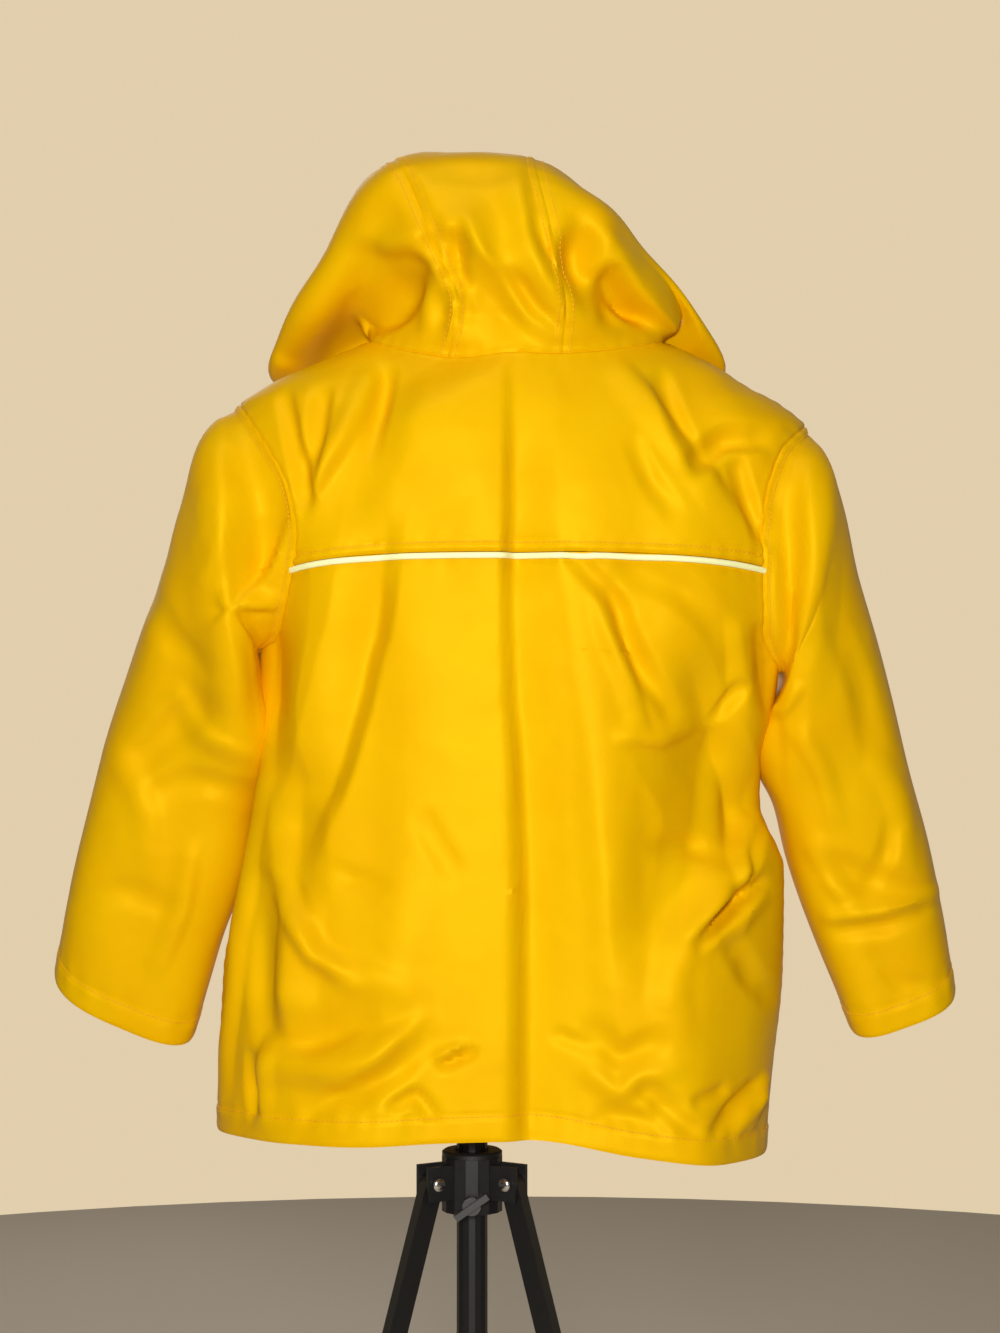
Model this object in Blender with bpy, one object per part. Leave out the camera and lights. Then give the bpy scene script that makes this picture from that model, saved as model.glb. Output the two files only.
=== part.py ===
"""Kids raincoat worn by a limbless dress form on a folding tripod stand.

Metres, +Z up.  The coat's back faces +Y, its front faces -Y, the wearer's left is +X.
The origin lies on the floor under the middle of the whole.  The coat's body is one smooth
bottle-shaped surface, read at an angle round it and a height; every panel is a region of
that surface, cut at the seams.  Sleeves and hood are sewn to the edges of those regions.
"""
import math

import bmesh
import bpy
import numpy as np
from mathutils import Matrix, Vector

# ------------------------------------------------------------------ driving sizes
CLOTH = 0.002                # coated cloth with its facing, one wall
SEAM = 0.0004                # gap between two pieces that are sewn together
LAID_ON = 0.0006             # gap under a strip that lies on a curved panel
SEAT = 0.0003                # gap between hard pieces that touch
SQUARE = 2.3                 # roundness of the body's sections, 2 is an ellipse

STRIP_CELLS = 4              # columns across the hood's centre strip
COLLAR_CELLS = 4             # columns from that strip to the shoulder seam
SHOULDER_CELLS = 6           # columns along one shoulder seam
FRONT_NECK_CELLS = 6         # columns from the shoulder seam to the centre front
YOKE_ROWS = 8
BACK_ARMHOLE_ROWS = 4        # rows of the back panel that end in the armhole
SIDE_ROWS = 15               # rows along the side seam
SLEEVE_ROWS = 16
HOOD_ROWS = 14

YOKE_SEAM_MIDDLE = 0.9086    # height of the yoke seam at the centre back
YOKE_SEAM_END = 0.8997       # and where it meets the armholes
NAPE = 1.041
NECK_SIDE = 1.058
THROAT = 1.005               # lowest point of the neckline, at the centre front
HOOD_STRIP_HALF = 0.039      # half the hood strip's width at the nape
HOOD_FOOT = 0.0095           # half the opening between the hood's corners at the throat

PIPING_TALL = 0.004
PIPING_DEEP = 0.0026
PLACKET_HALF = 0.021
SNAP_COUNT = 5
SNAP_RADIUS = 0.0065
SNAP_HEIGHT = 0.0022

STAND_X = 0.023              # the stand's axis, off the coat's middle: the coat hangs askew
FORM_REST = 0.0010           # gap between the form and the cloth that rests on it
FORM_BASE = 0.600
POLE_RADIUS = 0.011
POLE_BOTTOM = 0.270
HUB_BOTTOM = 0.452
HUB_TOP = 0.490
HUB_RADIUS = 0.0215
HUB_BORE = 0.0115
LEG_HINGE_RADIUS = 0.032
LEG_HINGE_HEIGHT = 0.474
FOOT_CIRCLE = 0.165
FOOT_HEIGHT = 0.012
FOOT_RADIUS = 0.013
LEG_WIDE = 0.010             # along the hinge pin
LEG_DEEP = 0.014
LUG_THICK = 0.0035
PIN_RADIUS = 0.003
LEG_BEARINGS = {"leg_left": 30.0, "leg_right": 150.0, "leg_front": 270.0}
KNOB_HEIGHT = 0.461


class Table:
    """Rows under named columns; each column becomes an array."""

    def __init__(self, columns, rows):
        self.rows = [row[0] for row in rows]
        self.columns = columns.split()
        for place, column in enumerate(self.columns):
            setattr(self, column, np.array([row[place + 1] for row in rows], float))


# Sections of the coat's body: half widths to the left and right, depths to back and front.
BODY = Table("z left right back front", [
    ("hem", 0.490, 0.1998, 0.1830, 0.101, 0.107),
    ("thigh", 0.560, 0.1990, 0.1880, 0.098, 0.104),
    ("low hip", 0.620, 0.1965, 0.1930, 0.095, 0.100),
    ("hip", 0.690, 0.1800, 0.1945, 0.092, 0.096),
    ("waist", 0.735, 0.1730, 0.1785, 0.090, 0.093),
    ("ribs", 0.765, 0.1700, 0.1760, 0.089, 0.091),
    ("low chest", 0.800, 0.1690, 0.1812, 0.088, 0.089),
    ("underarm", 0.845, 0.1700, 0.1930, 0.088, 0.088),
    ("chest", 0.900, 0.1760, 0.2030, 0.088, 0.086),
    ("blade", 0.950, 0.1890, 0.2085, 0.086, 0.080),
    ("high blade", 0.985, 0.1935, 0.2110, 0.080, 0.072),
    ("right tip", 0.9986, 0.1915, 0.2086, 0.076, 0.068),
    ("left tip", 1.0147, 0.1855, 0.1900, 0.070, 0.060),
    ("shoulder", 1.025, 0.1700, 0.1720, 0.065, 0.054),
    ("slope", 1.038, 0.1430, 0.1526, 0.057, 0.045),
    ("high slope", 1.050, 0.1150, 0.1280, 0.046, 0.034),
    ("neck", 1.058, 0.0930, 0.1090, 0.034, 0.026),
])

# How far out from the middle each armhole runs, from its foot up to the shoulder tip.
ARMHOLE_LEFT = Table("z back front", [
    ("foot", 0.8450, 0.1720, 0.1720),
    ("low", 0.8580, 0.1610, 0.1570),
    ("scoop", 0.8830, 0.1490, 0.1420),
    ("middle", 0.9240, 0.1408, 0.1340),
    ("high", 0.9510, 0.1459, 0.1390),
    ("upper", 0.9880, 0.1665, 0.1600),
    ("tip", 1.0147, 0.1855, 0.1855),
])
ARMHOLE_RIGHT = Table("z back front", [
    ("foot", 0.8290, 0.1900, 0.1900),
    ("low", 0.8420, 0.1835, 0.1790),
    ("scoop", 0.8630, 0.1770, 0.1690),
    ("middle", 0.9050, 0.1750, 0.1640),
    ("high", 0.9440, 0.1775, 0.1680),
    ("upper", 0.9770, 0.1880, 0.1830),
    ("tip", 0.9986, 0.2086, 0.2086),
])

# The hem's height, round from the right side (-90 degrees) past the back to the front.
HEM = Table("turn z", [
    ("right side", -90.0, 0.4960),
    ("right lobe", -48.0, 0.4985),
    ("right back", -25.0, 0.5060),
    ("centre back", -3.0, 0.5175),
    ("left back", 28.0, 0.5135),
    ("left side", 90.0, 0.5110),
    ("centre front", 180.0, 0.5035),
    ("right side again", 270.0, 0.4960),
])

# Folds of the body: a line from (x0, z0) to (x1, z1), how far it stands out (or in, below
# zero) at each end, and how wide it runs to its +X and its -X side.  face 1 is the back.
BODY_FOLDS = Table("face x0 z0 x1 z1 rise0 rise1 plus minus", [
    ("centre pleat, yoke", 1, -0.004, 1.000, -0.009, 0.910, -0.002, -0.008, 0.011, 0.030),
    ("centre pleat, back", 1, -0.009, 0.880, -0.0155, 0.500, -0.009, -0.024, 0.017, 0.070),
    ("left hollow", 1, 0.112, 0.850, 0.118, 0.690, -0.013, -0.011, 0.032, 0.034),
    ("right hollow", 1, -0.148, 0.800, -0.118, 0.680, -0.010, -0.012, 0.050, 0.026),
    ("right swag", 1, -0.125, 0.655, -0.158, 0.690, 0.006, 0.005, 0.020, 0.024),
    ("left lobe", 1, 0.080, 0.640, 0.092, 0.500, 0.004, 0.010, 0.045, 0.040),
    ("right lobe", 1, -0.110, 0.640, -0.115, 0.490, 0.004, 0.009, 0.045, 0.045),
    ("left shoulder hollow", 1, 0.085, 1.010, 0.105, 0.950, -0.005, -0.006, 0.030, 0.030),
    ("right shoulder hollow", 1, -0.125, 1.010, -0.150, 0.960, -0.004, -0.006, 0.026, 0.030),
    ("left front fold", -1, 0.100, 0.800, 0.118, 0.500, -0.004, -0.014, 0.030, 0.034),
    ("right front fold", -1, -0.095, 0.820, -0.122, 0.490, -0.004, -0.013, 0.032, 0.030),
    ("left front lobe", -1, 0.062, 0.700, 0.066, 0.500, 0.002, 0.008, 0.026, 0.026),
    ("right front lobe", -1, -0.060, 0.700, -0.068, 0.500, 0.002, 0.008, 0.026, 0.026),
])

# Sleeve sections from the seam down: outer and inner point, depths, how far forward the
# middle hangs and how much lower the back of the section lies than its front.
SLEEVE_LEFT = Table("outer_x outer_z inner_x inner_z back front mid dip", [
    ("cap", 0.2065, 0.9880, 0.1745, 0.8395, 0.058, 0.054, -0.004, 0.000),
    ("upper", 0.2214, 0.9515, 0.1740, 0.8240, 0.058, 0.054, -0.009, 0.000),
    ("bicep", 0.2406, 0.8995, 0.1732, 0.8020, 0.056, 0.052, -0.016, 0.002),
    ("above elbow", 0.2610, 0.8430, 0.1722, 0.7770, 0.051, 0.048, -0.024, 0.004),
    ("elbow", 0.2798, 0.7866, 0.1756, 0.7400, 0.045, 0.043, -0.027, 0.006),
    ("forearm", 0.2989, 0.7210, 0.1850, 0.6820, 0.040, 0.038, -0.030, 0.010),
    ("low forearm", 0.3100, 0.6708, 0.2030, 0.6370, 0.035, 0.034, -0.032, 0.015),
    ("cuff", 0.3190, 0.6196, 0.2208, 0.5785, 0.030, 0.030, -0.034, 0.018),
])
SLEEVE_RIGHT = Table("outer_x outer_z inner_x inner_z back front mid dip", [
    ("cap", -0.2215, 0.9760, -0.1940, 0.8235, 0.058, 0.054, -0.004, 0.000),
    ("upper", -0.2344, 0.9425, -0.1885, 0.8090, 0.057, 0.053, -0.009, 0.000),
    ("bicep", -0.2484, 0.8925, -0.1828, 0.7920, 0.055, 0.051, -0.016, 0.002),
    ("above elbow", -0.2650, 0.8380, -0.1788, 0.7720, 0.052, 0.048, -0.022, 0.004),
    ("elbow", -0.2816, 0.7795, -0.1890, 0.7370, 0.048, 0.045, -0.026, 0.006),
    ("forearm", -0.2991, 0.7119, -0.2010, 0.6930, 0.045, 0.042, -0.030, 0.009),
    ("low forearm", -0.3117, 0.6588, -0.2190, 0.6418, 0.043, 0.040, -0.032, 0.012),
    ("cuff", -0.3183, 0.6107, -0.2434, 0.5835, 0.041, 0.038, -0.034, 0.014),
])
SLEEVE_FOLDS = Table("face x0 z0 x1 z1 rise0 rise1 plus minus", [
    ("left pressed edge", 1, 0.189, 0.965, 0.180, 0.790, 0.006, 0.010, 0.050, 0.018),
    ("right pressed edge", 1, -0.208, 0.960, -0.212, 0.800, 0.004, 0.005, 0.020, 0.040),
    ("left elbow dent", 1, 0.215, 0.800, 0.245, 0.775, -0.005, -0.004, 0.016, 0.016),
    ("right forearm dent", 1, -0.235, 0.690, -0.290, 0.672, -0.004, -0.004, 0.014, 0.014),
])

# Hood arches from the neck seam over the crown to the face edge: the middle of the strip,
# half its width, how much lower its edge lies, how far the flank below it swells, the widest
# point of each side, how far the cheek swells before it, and the foot.
HOOD = Table("mid_x mid_y mid_z half drop bulge left_x right_x side_y side_z cheek foot foot_y foot_z", [
    ("rise", -0.004, 0.066, 1.078, 0.037, 0, 0.003, 0.098, -0.116, 0.002, 1.070, 0.016, 0.011, -0.070, 1.014),
    ("back", 0.008, 0.072, 1.120, 0.041, 0.001, 0.004, 0.111, -0.123, -0.002, 1.080, 0.018, 0.013, -0.075, 1.022),
    ("crown", 0.024, 0.058, 1.172, 0.046, 0.003, 0.004, 0.145, -0.138, -0.008, 1.060, 0.014, 0.015, -0.080, 1.030),
    ("top", 0.029, 0.012, 1.188, 0.050, 0.004, 0.003, 0.164, -0.154, -0.024, 1.043, 0.010, 0.018, -0.084, 1.037),
    ("brow", 0.030, -0.050, 1.184, 0.050, 0.006, 0.003, 0.165, -0.155, -0.050, 1.036, 0.006, 0.021, -0.087, 1.043),
    ("face", 0.030, -0.105, 1.172, 0.050, 0.008, 0.003, 0.153, -0.143, -0.074, 1.031, 0.004, 0.024, -0.089, 1.048),
])
HOOD_FOLDS = Table("face x0 z0 x1 z1 rise0 rise1 plus minus", [
    ("nape dent", 1, 0.040, 1.112, 0.018, 1.092, -0.008, -0.006, 0.014, 0.014),
    ("left ridge", 1, 0.100, 1.150, 0.140, 1.080, 0.005, 0.006, 0.024, 0.030),
    ("right ridge", 1, -0.066, 1.125, -0.118, 1.065, 0.008, 0.007, 0.022, 0.030),
    ("right hollow", 1, -0.062, 1.100, -0.080, 1.072, -0.009, -0.008, 0.018, 0.018),
])

# The form under the coat: half widths and depths of its sections, about the stand's axis.
FORM = Table("z half back front", [
    ("base", 0.600, 0.106, 0.070, 0.070),
    ("hip", 0.640, 0.118, 0.076, 0.076),
    ("waist", 0.745, 0.104, 0.068, 0.070),
    ("chest", 0.860, 0.118, 0.074, 0.074),
    ("high chest", 0.940, 0.134, 0.064, 0.060),
    ("shoulder", 0.980, 0.149, 0.054, 0.048),
    ("shoulder edge", 1.000, 0.157, 0.052, 0.045),
])
SHOULDER_LEVELS = (1.0150, 1.0250, 1.0380)   # heights at which the coat lies on the form
FORM_DEPTH_SHARE = 0.48      # the form's depth there, as a share of the coat's
FORM_NECK = Table("z half back front", [
    ("root", 1.0425, 0.074, 0.038, 0.030),
    ("low neck", 1.0520, 0.048, 0.036, 0.032),
    ("neck", 1.0700, 0.038, 0.038, 0.038),
    ("high neck", 1.1400, 0.036, 0.036, 0.036),
    ("cap rim", 1.1640, 0.038, 0.038, 0.038),
    ("cap edge", 1.1775, 0.030, 0.030, 0.030),
    ("cap top", 1.1852, 0.012, 0.012, 0.012),
])


# ------------------------------------------------------------------ curves and tables
def glide(stops, values, at):
    """Curve without overshoot through values at rising stops, read at `at`."""
    at = np.clip(np.asarray(at, float), stops[0], stops[-1])
    steps = np.diff(stops)
    slopes = np.diff(values) / steps
    tangents = np.zeros(len(stops))
    tangents[0], tangents[-1] = slopes[0], slopes[-1]
    for i in range(1, len(stops) - 1):
        if slopes[i - 1] * slopes[i] > 0:
            before = 2 * steps[i] + steps[i - 1]
            after = steps[i] + 2 * steps[i - 1]
            tangents[i] = (before + after) / (before / slopes[i - 1] + after / slopes[i])
    span = np.clip(np.searchsorted(stops, at, side="right") - 1, 0, len(steps) - 1)
    return hermite(values, tangents, steps, stops, span, at)


def hermite(values, tangents, steps, stops, span, at):
    """Cubic pieces between stops, from the values and tangents at their ends."""
    t = (at - stops[span]) / steps[span]
    reach = steps[span]
    return (values[span] * (1 + 2 * t) * (1 - t) ** 2 + tangents[span] * reach * t * (1 - t) ** 2
            + values[span + 1] * t * t * (3 - 2 * t) + tangents[span + 1] * reach * t * t * (t - 1))


def through(stops, points, at):
    """Smooth curve through points (one row each) at rising stops, read at `at`."""
    stops, points = np.asarray(stops, float), np.asarray(points, float)
    slopes = np.gradient(points, stops, axis=0)
    steps = np.diff(stops)
    span = np.clip(np.searchsorted(stops, at, side="right") - 1, 0, len(steps) - 1)
    t = ((at - stops[span]) / steps[span]).reshape(-1, *[1] * (points.ndim - 1))
    reach = steps[span].reshape(t.shape)
    return (points[span] * (1 + 2 * t) * (1 - t) ** 2 + slopes[span] * reach * t * (1 - t) ** 2
            + points[span + 1] * t * t * (3 - 2 * t) + slopes[span + 1] * reach * t * t * (t - 1))


def unit(vectors):
    """The vectors at length one."""
    return vectors / np.maximum(np.linalg.norm(vectors, axis=-1, keepdims=True), 1e-12)


def bell(distance):
    """1 at the middle, falling smoothly to 0 at a distance of 1."""
    return np.cos(np.clip(distance, 0, 1) * math.pi / 2) ** 2


def fold_rise(points, normals, folds):
    """How far each point stands out of its smooth surface, from a table of folds."""
    x, z = points[..., 0], points[..., 2]
    total = np.zeros(x.shape)
    for i in range(len(folds.rows)):
        along = np.array([folds.x1[i] - folds.x0[i], folds.z1[i] - folds.z0[i]])
        length = float(np.hypot(*along))
        along = along / length
        aside = np.array([-along[1], along[0]]) if along[1] < 0 else np.array([along[1], -along[0]])
        run = (x - folds.x0[i]) * along[0] + (z - folds.z0[i]) * along[1]
        off = (x - folds.x0[i]) * aside[0] + (z - folds.z0[i]) * aside[1]
        width = np.where(off > 0, folds.plus[i], folds.minus[i])
        past = np.maximum(-run, run - length) / (folds.plus[i] + folds.minus[i])
        rise = folds.rise0[i] + (folds.rise1[i] - folds.rise0[i]) * np.clip(run / length, 0, 1)
        facing = np.clip(normals[..., 1] * folds.face[i] / 0.35, 0, 1)
        total += rise * bell(np.abs(off) / width) * bell(past) * facing
    return total


# ------------------------------------------------------------------ the coat's body surface
def body_section(z, turn):
    """Half width and depth of the body at height z, on the side that `turn` looks to."""
    wide = np.where(np.sin(turn) >= 0, glide(BODY.z, BODY.left, z), glide(BODY.z, BODY.right, z))
    deep = np.where(np.cos(turn) >= 0, glide(BODY.z, BODY.back, z), glide(BODY.z, BODY.front, z))
    return wide, deep


def plain_body(turn, z):
    """Points of the smooth body: turn 0 is the centre back, +90 degrees the left side."""
    wide, deep = body_section(z, turn)
    power = 2 / SQUARE
    x = wide * np.sign(np.sin(turn)) * np.abs(np.sin(turn)) ** power
    y = deep * np.sign(np.cos(turn)) * np.abs(np.cos(turn)) ** power
    return np.stack([x, y, z + 0 * x], axis=-1)


def surface_normal(surface, turn, z):
    """Outward normals of a surface of turn and height, from small steps each way."""
    small_turn, small_z = 0.02, 0.001
    round_it = surface(turn + small_turn, z) - surface(turn - small_turn, z)
    up_it = surface(turn, z + small_z) - surface(turn, z - small_z)
    return unit(np.cross(up_it, round_it))


def body(turn, z):
    """Points of the body with its folds."""
    points = plain_body(turn, z)
    normals = surface_normal(plain_body, turn, z)
    return points + normals * fold_rise(points, normals, BODY_FOLDS)[..., None]


def turn_at(x, z, face):
    """The angle at which the body's section at height z reaches x, at the back or front."""
    wide = np.where(np.asarray(x) >= 0, glide(BODY.z, BODY.left, z), glide(BODY.z, BODY.right, z))
    share = np.clip(np.abs(x) / wide, 0, 1)
    turn = np.arcsin(share ** (SQUARE / 2)) * np.sign(x)
    return turn if face > 0 else math.pi - turn


def armhole_turn(side, z, face):
    """The angle of the armhole's edge at height z; side 1 is left, face 1 the back."""
    table = ARMHOLE_LEFT if side > 0 else ARMHOLE_RIGHT
    reach = glide(table.z, table.back if face > 0 else table.front, z)
    wide, _ = body_section(z, np.full(np.shape(z), side * math.pi / 2))
    return turn_at(side * np.minimum(reach, wide), z, face)


def armhole_heights(side, low, high, cells):
    """Heights down an armhole, closer together near its foot and its tip."""
    table = ARMHOLE_LEFT if side > 0 else ARMHOLE_RIGHT
    middle, half = (table.z[0] + table.z[-1]) / 2, (table.z[-1] - table.z[0]) / 2
    start, end = np.arccos(np.clip((np.array([low, high]) - middle) / half, -1, 1))
    angles = np.linspace(start, end, cells + 1)
    return middle + half * np.cos(angles)


def hem_height(turn):
    """Height of the hem at an angle round the body."""
    degrees = np.degrees(turn)
    degrees = np.where(degrees < -90, degrees + 360, degrees)
    return glide(HEM.turn, HEM.z, degrees)


def coons(face, *edges):
    """Grid of (turn, z) pairs between a bottom, a top, a first and a last edge.

    The edges are blended as seen from the front, and read back on the body's back (face 1)
    or front (face -1).
    """
    bottom, top, first, last = (plain_body(edge[:, 0], edge[:, 1])[:, [0, 2]] for edge in edges)
    up = np.linspace(0, 1, len(first))[:, None, None]
    across = np.linspace(0, 1, len(bottom))[None, :, None]
    mixed = (1 - up) * bottom[None] + up * top[None] + (1 - across) * first[:, None] + across * last[:, None]
    corners = ((1 - up) * (1 - across) * bottom[0] + (1 - up) * across * bottom[-1]
               + up * (1 - across) * top[0] + up * across * top[-1])
    x, z = np.moveaxis(mixed - corners, -1, 0)
    return np.stack([turn_at(x, z, face), z], axis=-1)


def neckline(side, face, cells):
    """(turn, z) pairs of the neckline from the shoulder seam to the middle."""
    reach = BODY.left[-1] if side > 0 else BODY.right[-1]
    swing = np.linspace(math.pi / 2, 0, cells + 1)
    x = side * reach * np.sin(swing)
    if face > 0:
        z = NAPE + (NECK_SIDE - NAPE) * np.sin(swing) ** 2
    else:
        z = THROAT + (NECK_SIDE - THROAT) * np.sin(swing) ** 2.5
    return np.stack([turn_at(x, z, face), z], axis=-1)


def back_neckline():
    """(turn, z) pairs from the right shoulder seam past the nape to the left one."""
    def half(side):
        reach = BODY.left[-1] if side > 0 else BODY.right[-1]
        edge = math.asin(HOOD_STRIP_HALF / reach)
        swing = np.concatenate([np.linspace(math.pi / 2, edge, COLLAR_CELLS + 1)[:-1],
                                np.linspace(edge, 0, STRIP_CELLS // 2 + 1)])
        z = NAPE + (NECK_SIDE - NAPE) * np.sin(swing) ** 2
        return np.stack([turn_at(side * reach * np.sin(swing), z, 1), z], axis=-1)
    return np.concatenate([half(-1), half(1)[::-1][1:]])


def shoulder_seam(side):
    """(turn, z) pairs from the shoulder tip up to the neck."""
    tip = (ARMHOLE_LEFT if side > 0 else ARMHOLE_RIGHT).z[-1]
    z = np.linspace(tip, NECK_SIDE, SHOULDER_CELLS + 1)
    return np.stack([np.full(z.shape, side * math.pi / 2), z], axis=-1)


def armhole_edge(side, face, low, high, cells):
    """(turn, z) pairs up an armhole's back or front edge."""
    z = armhole_heights(side, low, high, cells)
    return np.stack([armhole_turn(side, z, face), z], axis=-1)


def side_seam(side):
    """(turn, z) pairs down a side seam from the armhole's foot to the hem."""
    foot = (ARMHOLE_LEFT if side > 0 else ARMHOLE_RIGHT).z[0]
    turn = side * math.pi / 2
    z = np.linspace(foot, float(hem_height(np.array(turn))), SIDE_ROWS + 1)
    return np.stack([np.full(z.shape, turn), z], axis=-1)


def yoke_seam():
    """(turn, z) pairs of the yoke seam from the right armhole to the left one."""
    cells = 2 * (SHOULDER_CELLS + COLLAR_CELLS) + STRIP_CELLS
    start = float(armhole_turn(-1, np.array(YOKE_SEAM_END), 1))
    end = float(armhole_turn(1, np.array(YOKE_SEAM_END), 1))
    share = np.linspace(-1, 1, cells + 1)
    turn = np.where(share < 0, -share * start, share * end)
    z = YOKE_SEAM_MIDDLE + (YOKE_SEAM_END - YOKE_SEAM_MIDDLE) * np.abs(share) ** 2.5
    return np.stack([turn, z], axis=-1)


def yoke_grid():
    """(turn, z) grid of the yoke, rows from its seam up to shoulders and neckline."""
    edges = []
    for side in (-1, 1):
        tip = (ARMHOLE_LEFT if side > 0 else ARMHOLE_RIGHT).z[-1]
        edges.append(armhole_edge(side, 1, YOKE_SEAM_END, tip, YOKE_ROWS))
    top = np.concatenate([shoulder_seam(-1)[:-1], back_neckline(), shoulder_seam(1)[::-1][1:]])
    return coons(1, yoke_seam(), top, *edges)


def back_grid():
    """(turn, z) grid of the back panel, rows from the yoke seam down to the hem."""
    edges = []
    for side in (-1, 1):
        foot = (ARMHOLE_LEFT if side > 0 else ARMHOLE_RIGHT).z[0]
        hole = armhole_edge(side, 1, foot, YOKE_SEAM_END, BACK_ARMHOLE_ROWS)[::-1]
        edges.append(np.concatenate([hole[:-1], side_seam(side)]))
    top = yoke_seam()
    turn = np.linspace(-math.pi / 2, math.pi / 2, len(top))
    hem = np.stack([turn, hem_height(turn)], axis=-1)
    return coons(1, top, hem, *edges)


def front_grid(side):
    """(turn, z) grid of a front, rows from the hem up, columns from the middle outwards."""
    table = ARMHOLE_LEFT if side > 0 else ARMHOLE_RIGHT
    cells = FRONT_NECK_CELLS + SHOULDER_CELLS
    rows_up = BACK_ARMHOLE_ROWS + YOKE_ROWS
    hole = armhole_edge(side, -1, table.z[0], table.z[-1], rows_up)
    outer = np.concatenate([side_seam(side)[::-1][:-1], hole])
    top = np.concatenate([neckline(side, -1, FRONT_NECK_CELLS)[::-1], shoulder_seam(side)[::-1][1:]])
    turn = math.pi - side * np.linspace(0, math.pi / 2, cells + 1)
    hem = np.stack([turn, hem_height(turn)], axis=-1)
    heights = np.linspace(float(hem[0, 1]), THROAT, len(outer))
    middle = np.stack([np.full(heights.shape, math.pi), heights], axis=-1)
    return coons(-1, hem, top, middle, outer)


def on_body(grid):
    """Outer points and normals of a (turn, z) grid."""
    return body(grid[..., 0], grid[..., 1]), surface_normal(body, grid[..., 0], grid[..., 1])


# ------------------------------------------------------------------ meshes
def finish_mesh(name, mesh_data, material, smooth_angle=40):
    """Object from a bmesh, its faces turned outwards and shaded smooth."""
    bmesh.ops.recalc_face_normals(mesh_data, faces=mesh_data.faces)
    mesh = bpy.data.meshes.new(name)
    mesh_data.to_mesh(mesh)
    mesh_data.free()
    mesh.shade_smooth()
    mesh.set_sharp_from_angle(angle=math.radians(smooth_angle))
    mesh.materials.append(material)
    made = bpy.data.objects.new(name, mesh)
    bpy.context.scene.collection.objects.link(made)
    return made


def grid_normals(points, closed):
    """Normals of a grid of points, by differences; closed grids wrap round their columns."""
    if closed:
        wrapped = np.concatenate([points[:, -1:], points, points[:, :1]], axis=1)
        across = (wrapped[:, 2:] - wrapped[:, :-2])
    else:
        across = np.gradient(points, axis=1)
    return unit(np.cross(across, np.gradient(points, axis=0)))


def pull(points, edge, distance):
    """Moves one edge of a grid inwards, along its own surface, to open a seam."""
    rim, inside = {"first row": (np.s_[0], np.s_[1]), "last row": (np.s_[-1], np.s_[-2]),
                   "first column": (np.s_[:, 0], np.s_[:, 1]),
                   "last column": (np.s_[:, -1], np.s_[:, -2])}[edge]
    points[rim] += unit(points[inside] - points[rim]) * distance


def wall(name, outer, inner, material, closed=False):
    """Closed wall of cloth between two grids of points, joined round their edges."""
    rows, columns = outer.shape[:2]
    mesh_data = bmesh.new()
    skins = [[[mesh_data.verts.new(point) for point in row] for row in skin] for skin in (outer, inner)]
    last = columns if closed else columns - 1
    for i in range(rows - 1):
        for j in range(last):
            k = (j + 1) % columns
            for skin in skins:
                mesh_data.faces.new((skin[i][j], skin[i][k], skin[i + 1][k], skin[i + 1][j]))
    out, within = skins
    for i in (0, rows - 1):
        for j in range(last):
            k = (j + 1) % columns
            mesh_data.faces.new((out[i][j], out[i][k], within[i][k], within[i][j]))
    if not closed:
        for j in (0, columns - 1):
            for i in range(rows - 1):
                mesh_data.faces.new((out[i][j], out[i + 1][j], within[i + 1][j], within[i][j]))
    return finish_mesh(name, mesh_data, material)


def body_panel(name, grid, seams, material):
    """A panel of the body: the outer skin on the body's surface, the inner one within it."""
    outer, normals = on_body(grid)
    inner = outer - normals * CLOTH
    for edge in seams:
        pull(outer, edge, SEAM / 2)
        pull(inner, edge, SEAM / 2)
    return wall(name, outer, inner, material)


def skin_solid(name, rings, material, smooth_angle=40):
    """Closed solid through rings of points, with a flat face over each end."""
    mesh_data = bmesh.new()
    loops = [[mesh_data.verts.new(point) for point in ring] for ring in rings]
    count = len(loops[0])
    for below, above in zip(loops, loops[1:]):
        for j in range(count):
            k = (j + 1) % count
            mesh_data.faces.new((below[j], below[k], above[k], above[j]))
    mesh_data.faces.new(loops[0])
    mesh_data.faces.new(loops[-1])
    return finish_mesh(name, mesh_data, material, smooth_angle)


def plain_material(name, color, roughness, metallic=0.0):
    """A Principled material of one colour."""
    made = bpy.data.materials.new(name)
    made.use_nodes = True
    shader = made.node_tree.nodes["Principled BSDF"]
    shader.inputs["Base Color"].default_value = (*color, 1.0)
    shader.inputs["Roughness"].default_value = roughness
    shader.inputs["Metallic"].default_value = metallic
    made.diffuse_color = (*color, 1.0)
    return made


# ------------------------------------------------------------------ sleeves
def armhole_loop(side):
    """Outer points and body normals round an armhole: tip, back, foot, front."""
    edge = -1 if side > 0 else 0
    yoke, back, front = yoke_grid()[:, edge], back_grid()[:, edge], front_grid(side)[:, -1]
    pairs = np.concatenate([yoke[::-1][:-1], back[:BACK_ARMHOLE_ROWS], front[SIDE_ROWS:-1]])
    return on_body(pairs)


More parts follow.
